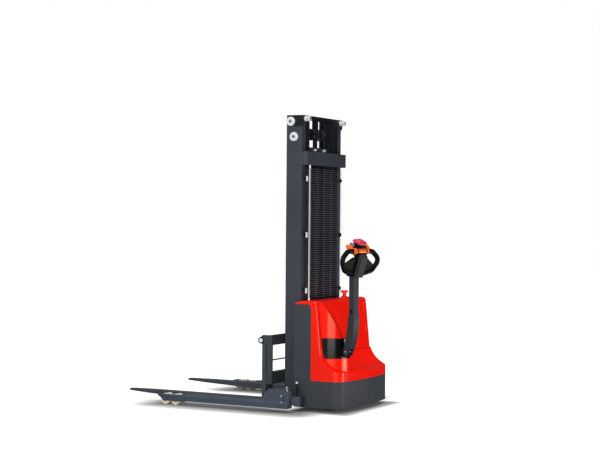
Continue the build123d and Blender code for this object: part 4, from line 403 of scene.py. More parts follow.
NODE_FINISH = {
    RED_COVER: ["hood_upper", "hood_lower"],
    GREY_PAINT: ["skirt", "base_frame", "leg_sleeve", "castor_fork", "end_plates", "upper_bar", "lower_bar",
                 "carriage_plates"],
    MAST_PAINT: ["outer_channel_left", "outer_channel_right", "mast_foot", "mast_crossbar"],
    TIE_PAINTED_SHADE: ["mast_top_tie"],
    INNER_PAINTED_SHADE: ["inner_rail_left", "inner_rail_right", "crosshead", "inner_foot_beam"],
    LEG_PAINT: ["leg_left", "leg_right", "load_axles_left", "load_axles_right"],
    FORK_PAINT: ["fork_left", "fork_right"],
    ZINC_PAINTED_REFLECTION: ["roller_pins", "mast_fasteners", "hanger_shaft"],
    BLACK_PAINT: ["clamp_screws", "stay_rod", "lift_rod", "guard_clips", "lift_cylinder"],
    STEEL: ["top_guide_rollers", "foot_guide_rollers", "carriage_rollers_upper", "carriage_rollers_lower"],
    SHEAVE_STEEL: ["chain_sheave_left", "chain_sheave_right"],
    CHAIN_STEEL: ["chain_front_runs", "chain_rear_runs"],
    GUARD_WIRE: ["guard_mesh"],
    MACHINE_GREY: ["hydraulic_unit", "drive_unit"],
    BATTERY_CASE: ["battery"],
    STOP_RED: ["e_stop_button"],
    GLOSS_BLACK: ["steering_head"],
    BLACK_PLASTIC: ["tiller_head"],
    NECK_PAINT: ["tiller_neck", "tiller_tube"],
    GREY_PLASTIC: ["head_cover"],
    THUMB_GREY: ["lift_rocker"],
    ORANGE_PLASTIC: ["throttle_wings"],
    CRIMSON_PLASTIC: ["belly_button"],
    CREAM_TREAD: ["load_roller_left_rear", "load_roller_left_front", "load_roller_right_rear",
                  "load_roller_right_front"],
    DARK_TREAD: ["drive_wheel", "castor_wheel"],
}

# Softened edges, by node, where they differ from the usual plate edge
EDGE_ROUND = 0.0012
EDGE_ROUNDS = {"hood_upper": 0.0018, "hood_lower": 0.004, "tiller_head": 0.004, "head_cover": 0.003,
               "throttle_wings": 0.004, "belly_button": 0.007, "tiller_neck": 0.006,
               "fork_left": 0.004, "fork_right": 0.004, "leg_left": 0.003, "leg_right": 0.003,
               "skirt": 0.002, "guard_clips": 0.0006, "lift_rocker": 0.002, "battery": 0.004,
               "hydraulic_unit": 0.004}
SHARP_ANGLE = radians(28)
WELD_DISTANCE = 1e-5
EDGE_SEGMENTS = 2


def soften(piece, width):
    """Rounds the hard edges of a piece and keeps its flat faces flat to the eye."""
    weld = piece.modifiers.new("weld", "WELD")
    weld.merge_threshold = WELD_DISTANCE
    bevel = piece.modifiers.new("edge round", "BEVEL")
    bevel.width = width
    bevel.segments = EDGE_SEGMENTS
    bevel.limit_method = "ANGLE"
    bevel.angle_limit = SHARP_ANGLE
    bevel.use_clamp_overlap = True
    for face in piece.data.polygons:
        face.use_smooth = True
    piece.modifiers.new("flat faces", "WEIGHTED_NORMAL").keep_sharp = True


def dress_nodes():
    """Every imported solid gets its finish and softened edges."""
    for finish, names in NODE_FINISH.items():
        for name in names:
            node = NODES[name]
            node.data.materials.clear()
            node.data.materials.append(finish)
            soften(node, EDGE_ROUNDS.get(name, EDGE_ROUND))


# Mesh helpers for the added pieces
def piece_from(name, mesh_builder, finish, body):
    bmesh.ops.recalc_face_normals(mesh_builder, faces=mesh_builder.faces)
    mesh = bpy.data.meshes.new(name)
    mesh_builder.to_mesh(mesh)
    mesh_builder.free()
    mesh.materials.append(finish)
    piece = bpy.data.objects.new(name, mesh)
    bpy.context.scene.collection.objects.link(piece)
    mesh.shade_smooth()
    mesh.set_sharp_from_angle(angle=SHARP_ANGLE)
    if body:
        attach(piece, body)
    return piece


def axis_turn(axis):
    """A rotation that takes Z to the given axis."""
    return Vector((0, 0, 1)).rotation_difference(Vector(axis)).to_matrix().to_4x4()


def add_rings(builder, rings, closed=False):
    """Adds the skin through rows of points: one lone point closes an end, closed joins last to first."""
    rows = [[builder.verts.new(point) for point in ring] for ring in rings]
    if closed:
        rows.append(rows[0])
    for low, high in zip(rows, rows[1:]):
        steps = max(len(low), len(high))
        for index in range(steps):
            nxt = (index + 1) % steps
            corners = [low[index % len(low)], low[nxt % len(low)]]
            corners += [high[nxt % len(high)], high[index % len(high)]]
            builder.faces.new(list(dict.fromkeys(corners)))


def add_turned(builder, profile, turn, plan, closed=False):
    """Adds a form with a ring for each (scale, height) of the profile: the plan, scaled and raised."""
    rings = []
    for scale, height in profile:
        outline = [(0, 0)] if scale == 0 else plan
        rings.append([turn @ Vector((scale * x, scale * y, height)) for x, y in outline])
    add_rings(builder, rings, closed)


def regular_outline(radius, sides):
    angles = [2 * pi * k / sides for k in range(sides)]
    return [(radius * cos(angle), radius * sin(angle)) for angle in angles]


def pad_outline(half_x, half_y, steps=48, power=0.45):
    """A rectangle with softly rounded corners and sides."""
    def rounded(value):
        return (1 if value >= 0 else -1) * abs(value) ** power
    return [(half_x * rounded(x), half_y * rounded(y)) for x, y in regular_outline(1.0, steps)]


def add_lathe(builder, profile, place, axis, steps=32, closed=False):
    """Adds a turned form: profile is (radius, height) points from the foot's centre to the top's centre."""
    turn = Matrix.Translation(place) @ axis_turn(axis)
    add_turned(builder, profile, turn, regular_outline(1.0, steps), closed)


def add_prism(builder, outline, depth, place):
    """Adds a flat plate: outline points in its own XY, extruded by depth along its own Z."""
    foot = [builder.verts.new(place @ Vector((x, y, 0))) for x, y in outline]
    top = [builder.verts.new(place @ Vector((x, y, depth))) for x, y in outline]
    builder.faces.new(foot[::-1])
    builder.faces.new(top)
    for index in range(len(outline)):
        nxt = (index + 1) % len(outline)
        builder.faces.new((foot[index], foot[nxt], top[nxt], top[index]))


# Steps round turned forms, by kind
WIRE_STEPS = 8
SCREW_STEPS = 20
BOLT_STEPS = 24
PLUG_STEPS = 28
CAP_ROUND_STEPS = 36
COLLAR_STEPS = 40

# Shares of a hexagon bolt's width and height, then of a cap screw's radius and height
WASHER_SHARE = 0.62
WASHER_THICK = 0.18
HEAD_THICK = 0.75
CROWN_SHARE = 0.46
CROWN_TAPER = 0.9
KEY_SHARE = 0.5
KEY_FLOOR = 0.45
SCREW_SHOULDER = 0.8
SCREW_CROWN = 0.88


def add_hex_bolt(builder, place, axis, across, height):
    """Adds a washer, a hexagon head and the round crown on top of it."""
    washer = across * WASHER_SHARE
    thick = height * WASHER_THICK
    add_lathe(builder, [(0, 0), (washer, 0), (washer, thick), (0, thick)], place, axis, BOLT_STEPS)
    seat = Matrix.Translation(Vector(place)) @ axis_turn(axis) @ Matrix.Translation((0, 0, thick))
    add_prism(builder, regular_outline(across / sqrt(3), 6), height * HEAD_THICK, seat)
    crown = across * CROWN_SHARE
    foot = thick + height * HEAD_THICK
    crown_profile = [(0, foot), (crown, foot), (crown * CROWN_TAPER, height), (0, height)]
    add_lathe(builder, crown_profile, place, axis, BOLT_STEPS)


def add_socket_screw(builder, place, axis, radius, height):
    """Adds a round cap screw with a round recess in its crown."""
    key = radius * KEY_SHARE
    profile = [(0, 0), (radius, 0), (radius, height * SCREW_SHOULDER), (radius * SCREW_CROWN, height)]
    profile += [(key, height), (key, height * KEY_FLOOR), (0, height * KEY_FLOOR)]
    add_lathe(builder, profile, place, axis, SCREW_STEPS)


def add_rod(builder, foot, axis, radius, length):
    """Adds a plain round rod from its foot along an axis."""
    add_lathe(builder, [(0, 0), (radius, 0), (radius, length), (0, length)], foot, axis, WIRE_STEPS)


# Guard wires
MESH_ROWS = 58
MESH_COLUMNS = 4
MESH_OVERHANG = 0.068
MESH_TRIM = 0.022
WIRE_RADIUS = 0.0018


def guard_wires():
    """Round welded wires in place of the flat guard: level ones on the operator's side of a few uprights."""
    low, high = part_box("guard_mesh")
    radius = WIRE_RADIUS
    builder = bmesh.new()
    row_pitch = (high.z - low.z - 4 * radius) / MESH_ROWS
    row_length = high.y - low.y - MESH_TRIM
    for row in range(MESH_ROWS + 1):
        z = low.z + 2 * radius + row * row_pitch
        add_rod(builder, Vector((low.x + radius, low.y + MESH_TRIM, z)), (0, 1, 0), radius, row_length)
    last = high.y - MESH_OVERHANG - 2 * radius
    for column in range(MESH_COLUMNS + 1):
        y = -last + column * 2 * last / MESH_COLUMNS
        add_rod(builder, Vector((low.x + 3 * radius, y, low.z)), (0, 0, 1), radius, high.z - low.z)
    wires = piece_from("guard_wires", builder, GUARD_WIRE, "chassis")
    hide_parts("guard_mesh")


# Leaf chains
CHAIN_PITCH = 0.01588
CHAIN_PLATE_HALF = 0.0052
CHAIN_PLATE_THICK = 0.0022
CHAIN_LACING = (0.0018, 0.0062)
CHAIN_PIN = 0.0026
CHAIN_WAIST = 0.62
LINK_END_STEPS = 6
SHEAVE_SIDE = 0.070
SHEAVE_RADIUS = 0.038


def link_outline(pitch):
    """A waisted leaf-chain plate, drawn along Y between two pins a pitch apart."""
    outline = []
    for end in (0, 1):
        for step in range(LINK_END_STEPS + 1):
            angle = pi * end + pi * step / LINK_END_STEPS
            x = CHAIN_PLATE_HALF * cos(angle)
            y = CHAIN_PLATE_HALF * sin(angle) + (pitch if end == 0 else 0)
            outline.append((x, y))
        outline.append(((-1 if end == 0 else 1) * CHAIN_PLATE_HALF * CHAIN_WAIST, pitch / 2))
    return outline


def add_chain(builder, joints, side):
    """Adds the plates and pins of one chain through a row of (x, z) pin places."""
    for index, (start, end) in enumerate(zip(joints, joints[1:])):
        along = Vector((end[0] - start[0], 0, end[1] - start[1]))
        across = Vector((0, 1, 0))
        normal = along.normalized().cross(across)
        lacing = CHAIN_LACING[index % 2]
        for offset in (-lacing, lacing):
            turn = Matrix((normal, along.normalized(), across)).transposed().to_4x4()
            corner = Vector((start[0], side + offset - CHAIN_PLATE_THICK / 2, start[1]))
            place = Matrix.Translation(corner) @ turn
            add_prism(builder, link_outline(along.length), CHAIN_PLATE_THICK, place)
    half = CHAIN_LACING[1] + CHAIN_PLATE_THICK
    for x, z in joints:
        add_rod(builder, Vector((x, side - half, z)), (0, 1, 0), CHAIN_PIN, 2 * half)


def straight_joints(x, low, high):
    count = max(1, round((high - low) / CHAIN_PITCH))
    return [(x, low + (high - low) * k / count) for k in range(count + 1)]


def leaf_chains():
    """Both lift chains: the front runs, the rear runs and the turn over each sheave."""
    for node, lower_body in (("chain_front_runs", "carriage"), ("chain_rear_runs", "chassis")):
        low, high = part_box(node)
        x = (low.x + high.x) / 2
        builder = bmesh.new()
        for side in (-SHEAVE_SIDE, SHEAVE_SIDE):
            add_chain(builder, straight_joints(x, low.z, high.z), side)
        name = node.replace("_runs", "_links")
        links = piece_from(name, builder, CHAIN_STEEL, None)
        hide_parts(node)
        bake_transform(links)
    low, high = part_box("chain_sheave_left")
    centre = ((low.x + high.x) / 2, (low.z + high.z) / 2)
    steps = round(pi * SHEAVE_RADIUS / CHAIN_PITCH)
    turn = [pi * k / steps for k in range(steps + 1)]
    joints = [(centre[0] + SHEAVE_RADIUS * cos(a), centre[1] + SHEAVE_RADIUS * sin(a)) for a in turn]
    builder = bmesh.new()
    for side in (-SHEAVE_SIDE, SHEAVE_SIDE):
        add_chain(builder, joints, side)
    piece_from("chain_turns", builder, CHAIN_STEEL, "inner_mast")


# Pin heads and bolts of the mast
PIN_HEAD = 0.032
PIN_CAP = ((0, 0), (0.0290, 0), (0.0290, 0.0015), (0.0250, 0.0030),
           (0.0205, 0.0030), (0.0190, 0.0012), (0, 0.0012))
PIN_NUT_ACROSS = 0.019
PIN_NUT_HEIGHT = 0.006
CORNER_BOLT = (0.276, 2.055)
CORNER_ACROSS = 0.030
CORNER_HEIGHT = 0.012
ANCHOR_ACROSS = 0.024
ANCHOR_HEIGHT = 0.015


def pin_heads():
    """Bright dished caps on the roller pins, each with a dark nut at its middle."""
    caps = bmesh.new()
    nuts = bmesh.new()
    low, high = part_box("roller_pins")
    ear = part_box("mast_top_tie")[1].y
    head = high.y - ear
    top_pin = (high.x - PIN_HEAD, high.z - PIN_HEAD, ear + head)
    low_pin = (MAST_MID, low.z + PIN_HEAD, MAST_HALF + head)
    for side in (-1, 1):
        for x, z, y in (top_pin, low_pin):
            place = Vector((x, side * y, z))
            add_lathe(caps, PIN_CAP, place, (0, side, 0), CAP_ROUND_STEPS)
            add_hex_bolt(nuts, place, (0, side, 0), PIN_NUT_ACROSS, PIN_NUT_HEIGHT)
    piece_from("pin_caps", caps, ZINC_PAINTED_REFLECTION, "chassis")
    piece_from("pin_nuts", nuts, SHEAVE_STEEL, "chassis")


def mast_bolts():
    """Hexagon heads on the corner bolts of the top tie, and nuts on the chain anchors."""
    builder = bmesh.new()
    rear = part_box("mast_fasteners")[0].x
    chain_low, chain_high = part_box("chain_rear_runs")
    anchor_x = (chain_low.x + chain_high.x) / 2
    anchor_foot = chain_low.z - ANCHOR_HEIGHT
    for side in (-1, 1):
        corner = Vector((rear + CORNER_HEIGHT, side * CORNER_BOLT[0], CORNER_BOLT[1]))
        add_hex_bolt(builder, corner, (-1, 0, 0), CORNER_ACROSS, CORNER_HEIGHT)
        anchor = Vector((anchor_x, side * SHEAVE_SIDE, anchor_foot))
        add_hex_bolt(builder, anchor, (0, 0, 1), ANCHOR_ACROSS, ANCHOR_HEIGHT)
    piece_from("mast_bolt_heads", builder, ZINC_PAINTED_REFLECTION, "chassis")


# Holders of the guard: bright tabs on the left, black wire rings on the right
HOLDER_HEIGHTS = (0.838, 1.232, 1.630)
TAB_SIDE = 0.281
TAB_HALF = (0.0130, 0.0190)
TAB_THICK = 0.003
TAB_PROFILE = ((0, 0), (1, 0), (1, TAB_THICK * 0.7), (0.93, TAB_THICK), (0, TAB_THICK))
TAB_CORNER = 0.3
TAB_STEPS = 32
TAB_SCREW = 0.0055
RING_SIDE = -0.243
RING_RADIUS = 0.0115
RING_WIRE = 0.0042


def guard_holders():
    """Tabs with a screw over the left edge of the guard and rings round its right edge."""
    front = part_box("guard_mesh")[0].x
    tabs = bmesh.new()
    rings = bmesh.new()
    wire = [(RING_RADIUS + x, y) for x, y in regular_outline(RING_WIRE, WIRE_STEPS)]
    for height in HOLDER_HEIGHTS:
        tab = Vector((front, TAB_SIDE, height))
        flat = Matrix.Translation(tab) @ Matrix(((0, 0, -1), (1, 0, 0), (0, -1, 0))).to_4x4()
        add_turned(tabs, TAB_PROFILE, flat, pad_outline(*TAB_HALF, TAB_STEPS, TAB_CORNER))
        screw = tab - Vector((TAB_THICK, 0, TAB_HALF[1] / 3))
        add_socket_screw(tabs, screw, (-1, 0, 0), TAB_SCREW, TAB_SCREW)
        ring = Vector((front, RING_SIDE, height))
        add_lathe(rings, wire, ring, (0, 1, 0), BOLT_STEPS, closed=True)
    piece_from("guard_tabs", tabs, ZINC_PAINTED_REFLECTION, "chassis")
    piece_from("guard_rings", rings, BLACK_PLASTIC, "chassis")


# Bolts of the straddle legs and their clamp screws
STAND_BOLT = Vector((-0.419, 0.508, 0.150))
STAND_ACROSS = 0.017
STAND_HEIGHT = 0.030
PLATE_BOLT = Vector((-0.3987, 0.554, 0.117))
TOE_BOLT = Vector((-0.4046, 0.5611, 0.0749))
LEG_BOLT_ACROSS = 0.010
LEG_BOLT_HEIGHT = 0.005
CLAMP_ACROSS = 0.015
CLAMP_HEIGHT = 0.012


def mirrored_side(place, side):
    return Vector((place[0], place[1] * side, place[2]))


def leg_bolts():
    """Bracket bolts on each leg, and bright heads on the screws that clamp the legs' sleeve."""
    for side, body in ((1, "leg_left"), (-1, "leg_right")):
        builder = bmesh.new()
        add_hex_bolt(builder, mirrored_side(STAND_BOLT, side), (0, 0, 1), STAND_ACROSS, STAND_HEIGHT)
        for bolt, axis in ((PLATE_BOLT, (0, side, 0)), (TOE_BOLT, (0, side, 1))):
            add_hex_bolt(builder, mirrored_side(bolt, side), axis, LEG_BOLT_ACROSS, LEG_BOLT_HEIGHT)
        piece_from(f"{body}_bolts", builder, ZINC, body)
    heads = bmesh.new()
    low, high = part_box("clamp_screws")
    reach = high.y - (high.x - low.x) / 2
    for side in (-1, 1):
        head = Vector(((low.x + high.x) / 2, side * reach, high.z))
        add_hex_bolt(heads, head, (0, 0, 1), CLAMP_ACROSS, CLAMP_HEIGHT)
    piece_from("clamp_screw_heads", heads, ZINC_PAINTED_REFLECTION, "chassis")


# Collars of the fork hanger shaft and of the emergency stop
SHAFT_COLLAR = 0.0235
SHAFT_COLLAR_THICK = 0.0035
SHAFT_COLLAR_EDGE = 0.7
SHAFT_COLLAR_CHAMFER = 0.001
SHAFT_CLEAR = 0.0003
STOP_COLLAR = ((0.0152, 0.0), (0.0265, 0.0), (0.0250, 0.007), (0.0195, 0.0125), (0.0152, 0.0135))


def shaft_collars():
    """A dark collar round each end of the hanger shaft, against the carriage's end plate."""
    builder = bmesh.new()
    low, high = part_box("hanger_shaft")
    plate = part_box("end_plates")[1].y
    bore = (high.z - low.z) / 2 + SHAFT_CLEAR
    profile = [(bore, 0), (SHAFT_COLLAR, 0), (SHAFT_COLLAR, SHAFT_COLLAR_THICK * SHAFT_COLLAR_EDGE)]
    profile += [(SHAFT_COLLAR - SHAFT_COLLAR_CHAMFER, SHAFT_COLLAR_THICK), (bore, SHAFT_COLLAR_THICK)]
    for side in (-1, 1):
        place = Vector(((low.x + high.x) / 2, side * plate, (low.z + high.z) / 2))
        add_lathe(builder, profile, place, (0, side, 0), COLLAR_STEPS, closed=True)
    piece_from("shaft_collars", builder, BLACK_PAINT, "carriage")


def stop_collar():
    """The moulded collar that the emergency-stop stem goes down through."""
    builder = bmesh.new()
    low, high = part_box("e_stop_button")
    place = Vector(((low.x + high.x) / 2, (low.y + high.y) / 2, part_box("hood_upper")[1].z))
    add_lathe(builder, STOP_COLLAR, place, (0, 0, 1), COLLAR_STEPS, closed=True)
    piece_from("stop_collar", builder, STOP_RED, "chassis")


# Dark joint between the upper hood and the lower cover
SEAM_ENDS = (-0.395, 0.080)
SEAM_X = (-0.6300, -0.6235)
SEAM_Z = (0.3995, 0.4040)
SEAM_SLOPE = 0.002


def hood_seam():
    """The shadowed joint along the hood's rear, right of the steering tower."""
    builder = bmesh.new()
    foot = [(SEAM_X[0], SEAM_Z[0]), (SEAM_X[1], SEAM_Z[0])]
    outline = [*foot, (SEAM_X[1], SEAM_Z[1]), (SEAM_X[0] + SEAM_SLOPE, SEAM_Z[1])]
    turn = Matrix(((1, 0, 0), (0, 0, 1), (0, 1, 0))).to_4x4()
    start = Matrix.Translation((0, SEAM_ENDS[0], 0))
    add_prism(builder, outline, SEAM_ENDS[1] - SEAM_ENDS[0], start @ turn)
    piece_from("hood_seam", builder, BLACK_PLASTIC, "chassis")


# Rounded beads round the two recesses in the hood's rear panel
PANEL_POINT = (-0.5923, 0.7185)
PANEL_TILT = 0.1005
RECESS_HEIGHTS = (0.705, 0.535)
RECESS_SIDE = -0.205
RECESS_HALF = (0.145, 0.041)
RECESS_ROUND = 0.020
BEAD_RADIUS = 0.0042
BEAD_SINK = 0.0006
BEAD_SIDES = 10
CORNER_STEPS = 8


def recess_outline():
    """The recess's rounded rectangle, as points with the direction that looks outwards from each."""
    points = []
    for corner in range(4):
        x = (RECESS_HALF[0] - RECESS_ROUND) * (1 if corner in (0, 3) else -1)
        y = (RECESS_HALF[1] - RECESS_ROUND) * (1 if corner in (0, 1) else -1)
        for step in range(CORNER_STEPS + 1):
            angle = pi / 2 * (corner + step / CORNER_STEPS)
            outward = Vector((cos(angle), sin(angle), 0))
            points.append((Vector((x, y, 0)) + RECESS_ROUND * outward, outward))
    return points


def recess_beads():
    """A half-sunk round bead along the edge of each recess."""
    builder = bmesh.new()
    lean = sqrt(1 + PANEL_TILT ** 2)
    up_panel = Vector((PANEL_TILT, 0, 1)) / lean
    off_panel = Vector((-1, 0, PANEL_TILT)) / lean
    panel = Matrix((Vector((0, 1, 0)), up_panel, off_panel)).transposed()
    section = regular_outline(BEAD_RADIUS, BEAD_SIDES)
    for height in RECESS_HEIGHTS:
        panel_x = PANEL_POINT[0] + PANEL_TILT * (height - PANEL_POINT[1])
        middle = Vector((panel_x, RECESS_SIDE, height))
        rings = []
        for point, outward in recess_outline():
            local = [point + across * outward + Vector((0, 0, up - BEAD_SINK)) for across, up in section]
            rings.append([middle + panel @ place for place in local])
        add_rings(builder, rings, closed=True)
    piece_from("recess_beads", builder, RED_COVER, "chassis")


# Tiller frame: across to its side, back towards the operator, and the head's own lean
ACROSS = Vector(JOINTS["tiller_tilt"]["axis"]).normalized()
BACK = ACROSS.cross(Vector((0, 0, 1)))
STEER = Vector((*JOINTS["steer"]["pos_m"][:2], 0))
HEAD_RADIUS = 0.242
HEAD_BASE = 0.950
HEAD_LEAN = radians(21)
HEAD_UP = BACK * sin(HEAD_LEAN) + Vector((0, 0, cos(HEAD_LEAN)))
HEAD_OUT = BACK * cos(HEAD_LEAN) - Vector((0, 0, sin(HEAD_LEAN)))
HEAD = STEER + BACK * HEAD_RADIUS + Vector((0, 0, HEAD_BASE))


def on_tiller(radius, across, height):
    """A place given by its distance behind the steering axis, to the side, and above the floor."""
    return STEER + BACK * radius + ACROSS * across + Vector((0, 0, height))


def on_head(across, up, out):
    """A place given along the head's own axes."""
    return HEAD + ACROSS * across + HEAD_UP * up + HEAD_OUT * out


def head_turn(across, out):
    """A frame whose X is across the head, Y towards the mast and Z up the head."""
    turn = Matrix((ACROSS, -HEAD_OUT, HEAD_UP)).transposed().to_4x4()
    return Matrix.Translation(on_head(across, 0, out)) @ turn


TUBE_PLUG = (0.2265, 0.026, 0.7065)
TUBE_PLUG_PROFILE = ((0, 0), (0.0125, 0), (0.0125, 0.001), (0.010, 0.0022), (0, 0.0026))
PIVOT_CAP_PROFILE = ((0, 0), (0.0085, 0), (0.0085, 0.0015), (0.006, 0.0028), (0, 0.0028))
NECK_HALF = 0.0283


def tiller_fittings():
    """A black plug on each side of the tube's foot, and the ends of the neck's pivot pin."""
    plugs = bmesh.new()
    caps = bmesh.new()
    radius, across, height = TUBE_PLUG
    pivot = Vector(JOINTS["tiller_tilt"]["pos_m"])
    pivot_radius = (pivot - STEER).dot(BACK)
    for side in (-1, 1):
        plug = on_tiller(radius, side * across, height)
        cap = on_tiller(pivot_radius, side * NECK_HALF, pivot.z)
        add_lathe(plugs, TUBE_PLUG_PROFILE, plug, side * ACROSS, PLUG_STEPS)
        add_lathe(caps, PIVOT_CAP_PROFILE, cap, side * ACROSS, PLUG_STEPS)
    piece_from("tube_plugs", plugs, BLACK_PLASTIC, "tiller")
    piece_from("pivot_caps", caps, ZINC, "steered_head")


# Black seals over the grooves of the throttle
SEAL_SIDE = 0.0364
SEAL_WIDTH = 0.0090
SEAL_BORE = 0.0181
SEAL_RADIUS = 0.0283


def throttle_seals():
    """A black ring over each groove of the throttle, round its own axis."""
    builder = bmesh.new()
    axle = Vector(JOINTS["throttle_turn"]["pos_m"])
    middle = axle - ACROSS * (axle - HEAD).dot(ACROSS)
    profile = [(SEAL_BORE, 0), (SEAL_RADIUS, 0), (SEAL_RADIUS, SEAL_WIDTH), (SEAL_BORE, SEAL_WIDTH)]
    for side in (-1, 1):
        place = middle + side * SEAL_SIDE * ACROSS
        add_lathe(builder, profile, place, side * ACROSS, COLLAR_STEPS, closed=True)
    piece_from("throttle_seals", builder, BLACK_PLASTIC, "throttle_wings")


# Belly button: a crowned cap whose skirt slides inside a seat on the head, and the thumb pads beside it
CAP_HALF = (0.042, 0.039)
CAP_OUT = -0.050
CAP_CORNER = 0.32
CAP_INSIDE = ((0, 0.2470), (0.5, 0.2460), (0.88, 0.2400), (0.90, 0.2290), (1.0, 0.2290), (1.0, 0.2350))
CAP_RISE = 0.0190
CAP_FLATNESS = 3
CAP_SHOULDER = 0.6
CAP_STEPS = 10
CAP_SKIRT_OUT = -0.0455
CAP_SKIRT_HALF = (0.0312, 0.0340)
CAP_SKIRT_PROFILE = ((0.85, 0.2145), (1.0, 0.2145), (1.0, 0.2340), (0.85, 0.2340))
SEAT_OUT = -0.044
SEAT_HALF = (0.0370, 0.0435)
SEAT_PROFILE = ((0.86, 0.2065), (1.0, 0.2065), (1.0, 0.2165), (0.97, 0.2185), (0.86, 0.2185))
THUMB_SIDE = 0.0515
THUMB_OUT = -0.066
THUMB_HALF = (0.0068, 0.0215)
THUMB_PROFILE = ((0, 0.2030), (0.9, 0.2030), (1.0, 0.2050), (1.0, 0.2165),
                 (0.9, 0.2200), (0.5, 0.2220), (0, 0.2225))


def cap_crown():
    """Points of the cap's domed top, from its rim to its middle."""
    rim = CAP_INSIDE[-1][1]
    shares = [1 - k / CAP_STEPS for k in range(1, CAP_STEPS + 1)]
    return [(share, rim + CAP_RISE * (1 - share ** CAP_FLATNESS) ** CAP_SHOULDER) for share in shares]


def belly_pad():
    """The belly button with its seat, and a long thumb pad on each end of the lift rocker."""
    cap = bmesh.new()
    cap_profile = [*CAP_INSIDE, *cap_crown()]
    add_turned(cap, cap_profile, head_turn(0, CAP_OUT), pad_outline(*CAP_HALF, power=CAP_CORNER))
    button = piece_from("belly_cap", cap, CRIMSON_PLASTIC, "belly_button")
    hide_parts("belly_button")
    skirt = bmesh.new()
    skirt_plan = pad_outline(*CAP_SKIRT_HALF)
    add_turned(skirt, CAP_SKIRT_PROFILE, head_turn(0, CAP_SKIRT_OUT), skirt_plan, closed=True)
    piece_from("belly_skirt", skirt, BLACK_PLASTIC, "belly_button")
    seat = bmesh.new()
    add_turned(seat, SEAT_PROFILE, head_turn(0, SEAT_OUT), pad_outline(*SEAT_HALF), closed=True)
    piece_from("belly_seat", seat, BLACK_PLASTIC, "tiller")
    thumbs = bmesh.new()
    for side in (-1, 1):
        add_turned(thumbs, THUMB_PROFILE, head_turn(side * THUMB_SIDE, THUMB_OUT), pad_outline(*THUMB_HALF))
    piece_from("thumb_pads", thumbs, THUMB_GREY, "lift_rocker")


# Studio
FLOOR_HALF = 30.0
FLOOR_COLOUR = (0.42, 0.42, 0.42, 1)
FLOOR_ROUGHNESS = 0.9
# Glow of the floor, and how far from the legs and the body its painted shadow reaches
GLOW_NEAR = 0.02
GLOW_FAR = 1.0
LEG_SHADOW = 0.30
BODY_SHADOW = 0.13
WORLD_LEVEL = 0.19
FLAG_AZIMUTH = radians(232)
FLAG_EDGE = -0.50
FLAG_CORE = 0.55
FLAG_LEVEL = 0.03
MIRROR_LEVEL = 0.55


def outside(tree, value, low, high):
    """How far a coordinate lies outside a range."""
    under = maths(tree, "SUBTRACT", low, value)
    over = maths(tree, "SUBTRACT", value, high)
    return maths(tree, "MAXIMUM", maths(tree, "MAXIMUM", under, over), 0.0)


def plan_distance(tree, x, y, low, high):
    """Distance in plan from a box."""
    along = outside(tree, x, low.x, high.x)
    across = outside(tree, y, low.y, high.y)
    along_square = maths(tree, "MULTIPLY", along, along)
    across_square = maths(tree, "MULTIPLY", across, across)
    return maths(tree, "SQRT", maths(tree, "ADD", along_square, across_square))


def mirrored_level(tree, direction):
    """How bright the studio looks in the truck's gloss: pale towards the key, dark towards a black flag."""
    towards_flag = add_node(tree, "ShaderNodeVectorMath", operation="DOT_PRODUCT")
    tree.links.new(direction, towards_flag.inputs[0])
    towards_flag.inputs[1].default_value = (cos(FLAG_AZIMUTH), sin(FLAG_AZIMUTH), 0)
    return spread(tree, towards_flag.outputs["Value"], FLAG_EDGE, FLAG_CORE, MIRROR_LEVEL, FLAG_LEVEL)


def background_level(tree, direction):
    """White where the camera or glass looks at the studio, and the flagged level where gloss mirrors it."""
    path = add_node(tree, "ShaderNodeLightPath").outputs
    seen = maths(tree, "MAXIMUM", path["Is Camera Ray"], path["Is Transmission Ray"])
    mirrored = maths(tree, "MULTIPLY", mirrored_level(tree, direction), path["Is Glossy Ray"])
    return maths(tree, "MAXIMUM", seen, mirrored), path["Is Glossy Ray"]


def floor_glow(tree, position):
    """The floor's own glow, fading to a painted shadow: hardly any beside the legs and the body, and full a
    short way off.
    """
    place = add_node(tree, "ShaderNodeSeparateXYZ")
    tree.links.new(position, place.inputs[0])
    x = place.outputs["X"]
    side = maths(tree, "ABSOLUTE", place.outputs["Y"])
    leg_low, leg_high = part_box("load_axles_left")
    leg_low.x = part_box("leg_left")[0].x
    leg_high.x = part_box("leg_left")[1].x
    body_low, body_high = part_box("skirt")
    body_low.y = 0
    by_leg = maths(tree, "DIVIDE", plan_distance(tree, x, side, leg_low, leg_high), LEG_SHADOW)
    by_body = maths(tree, "DIVIDE", plan_distance(tree, x, side, body_low, body_high), BODY_SHADOW)
    glow = spread(tree, maths(tree, "MINIMUM", by_leg, by_body), 0.0, 1.0, GLOW_NEAR, GLOW_FAR)
    glow.node.interpolation_type = "SMOOTHSTEP"
    return glow


def floor_material():
    """A pale floor: white a short way off, and near the truck lit by the lamps alone, with their shadow and
    the painted shadow of its fading glow.
    """
    material, tree, shader = new_material("pale_floor")
    shader.inputs["Roughness"].default_value = FLOOR_ROUGHNESS
    shader.inputs["Specular IOR Level"].default_value = 0.0
    shader.inputs["Emission Color"].default_value = WHITE
    position = add_node(tree, "ShaderNodeNewGeometry").outputs["Position"]
    direction = add_node(tree, "ShaderNodeVectorMath", operation="NORMALIZE")
    tree.links.new(position, direction.inputs[0])
    seen, glossy = background_level(tree, direction.outputs[0])
    glow = floor_glow(tree, position)
    tree.links.new(maths(tree, "MULTIPLY", seen, glow), shader.inputs["Emission Strength"])
    tree.links.new(blend_colour(tree, glossy, FLOOR_COLOUR, BLACK), shader.inputs["Base Color"])
    return material


def studio_floor():
    """A plain square floor under the truck."""
    builder = bmesh.new()
    bmesh.ops.create_grid(builder, x_segments=1, y_segments=1, size=FLOOR_HALF)
    mesh = bpy.data.meshes.new("studio_floor")
    builder.to_mesh(mesh)
    builder.free()
    mesh.materials.append(floor_material())
    floor = bpy.data.objects.new("studio_floor", mesh)
    bpy.context.scene.collection.objects.link(floor)


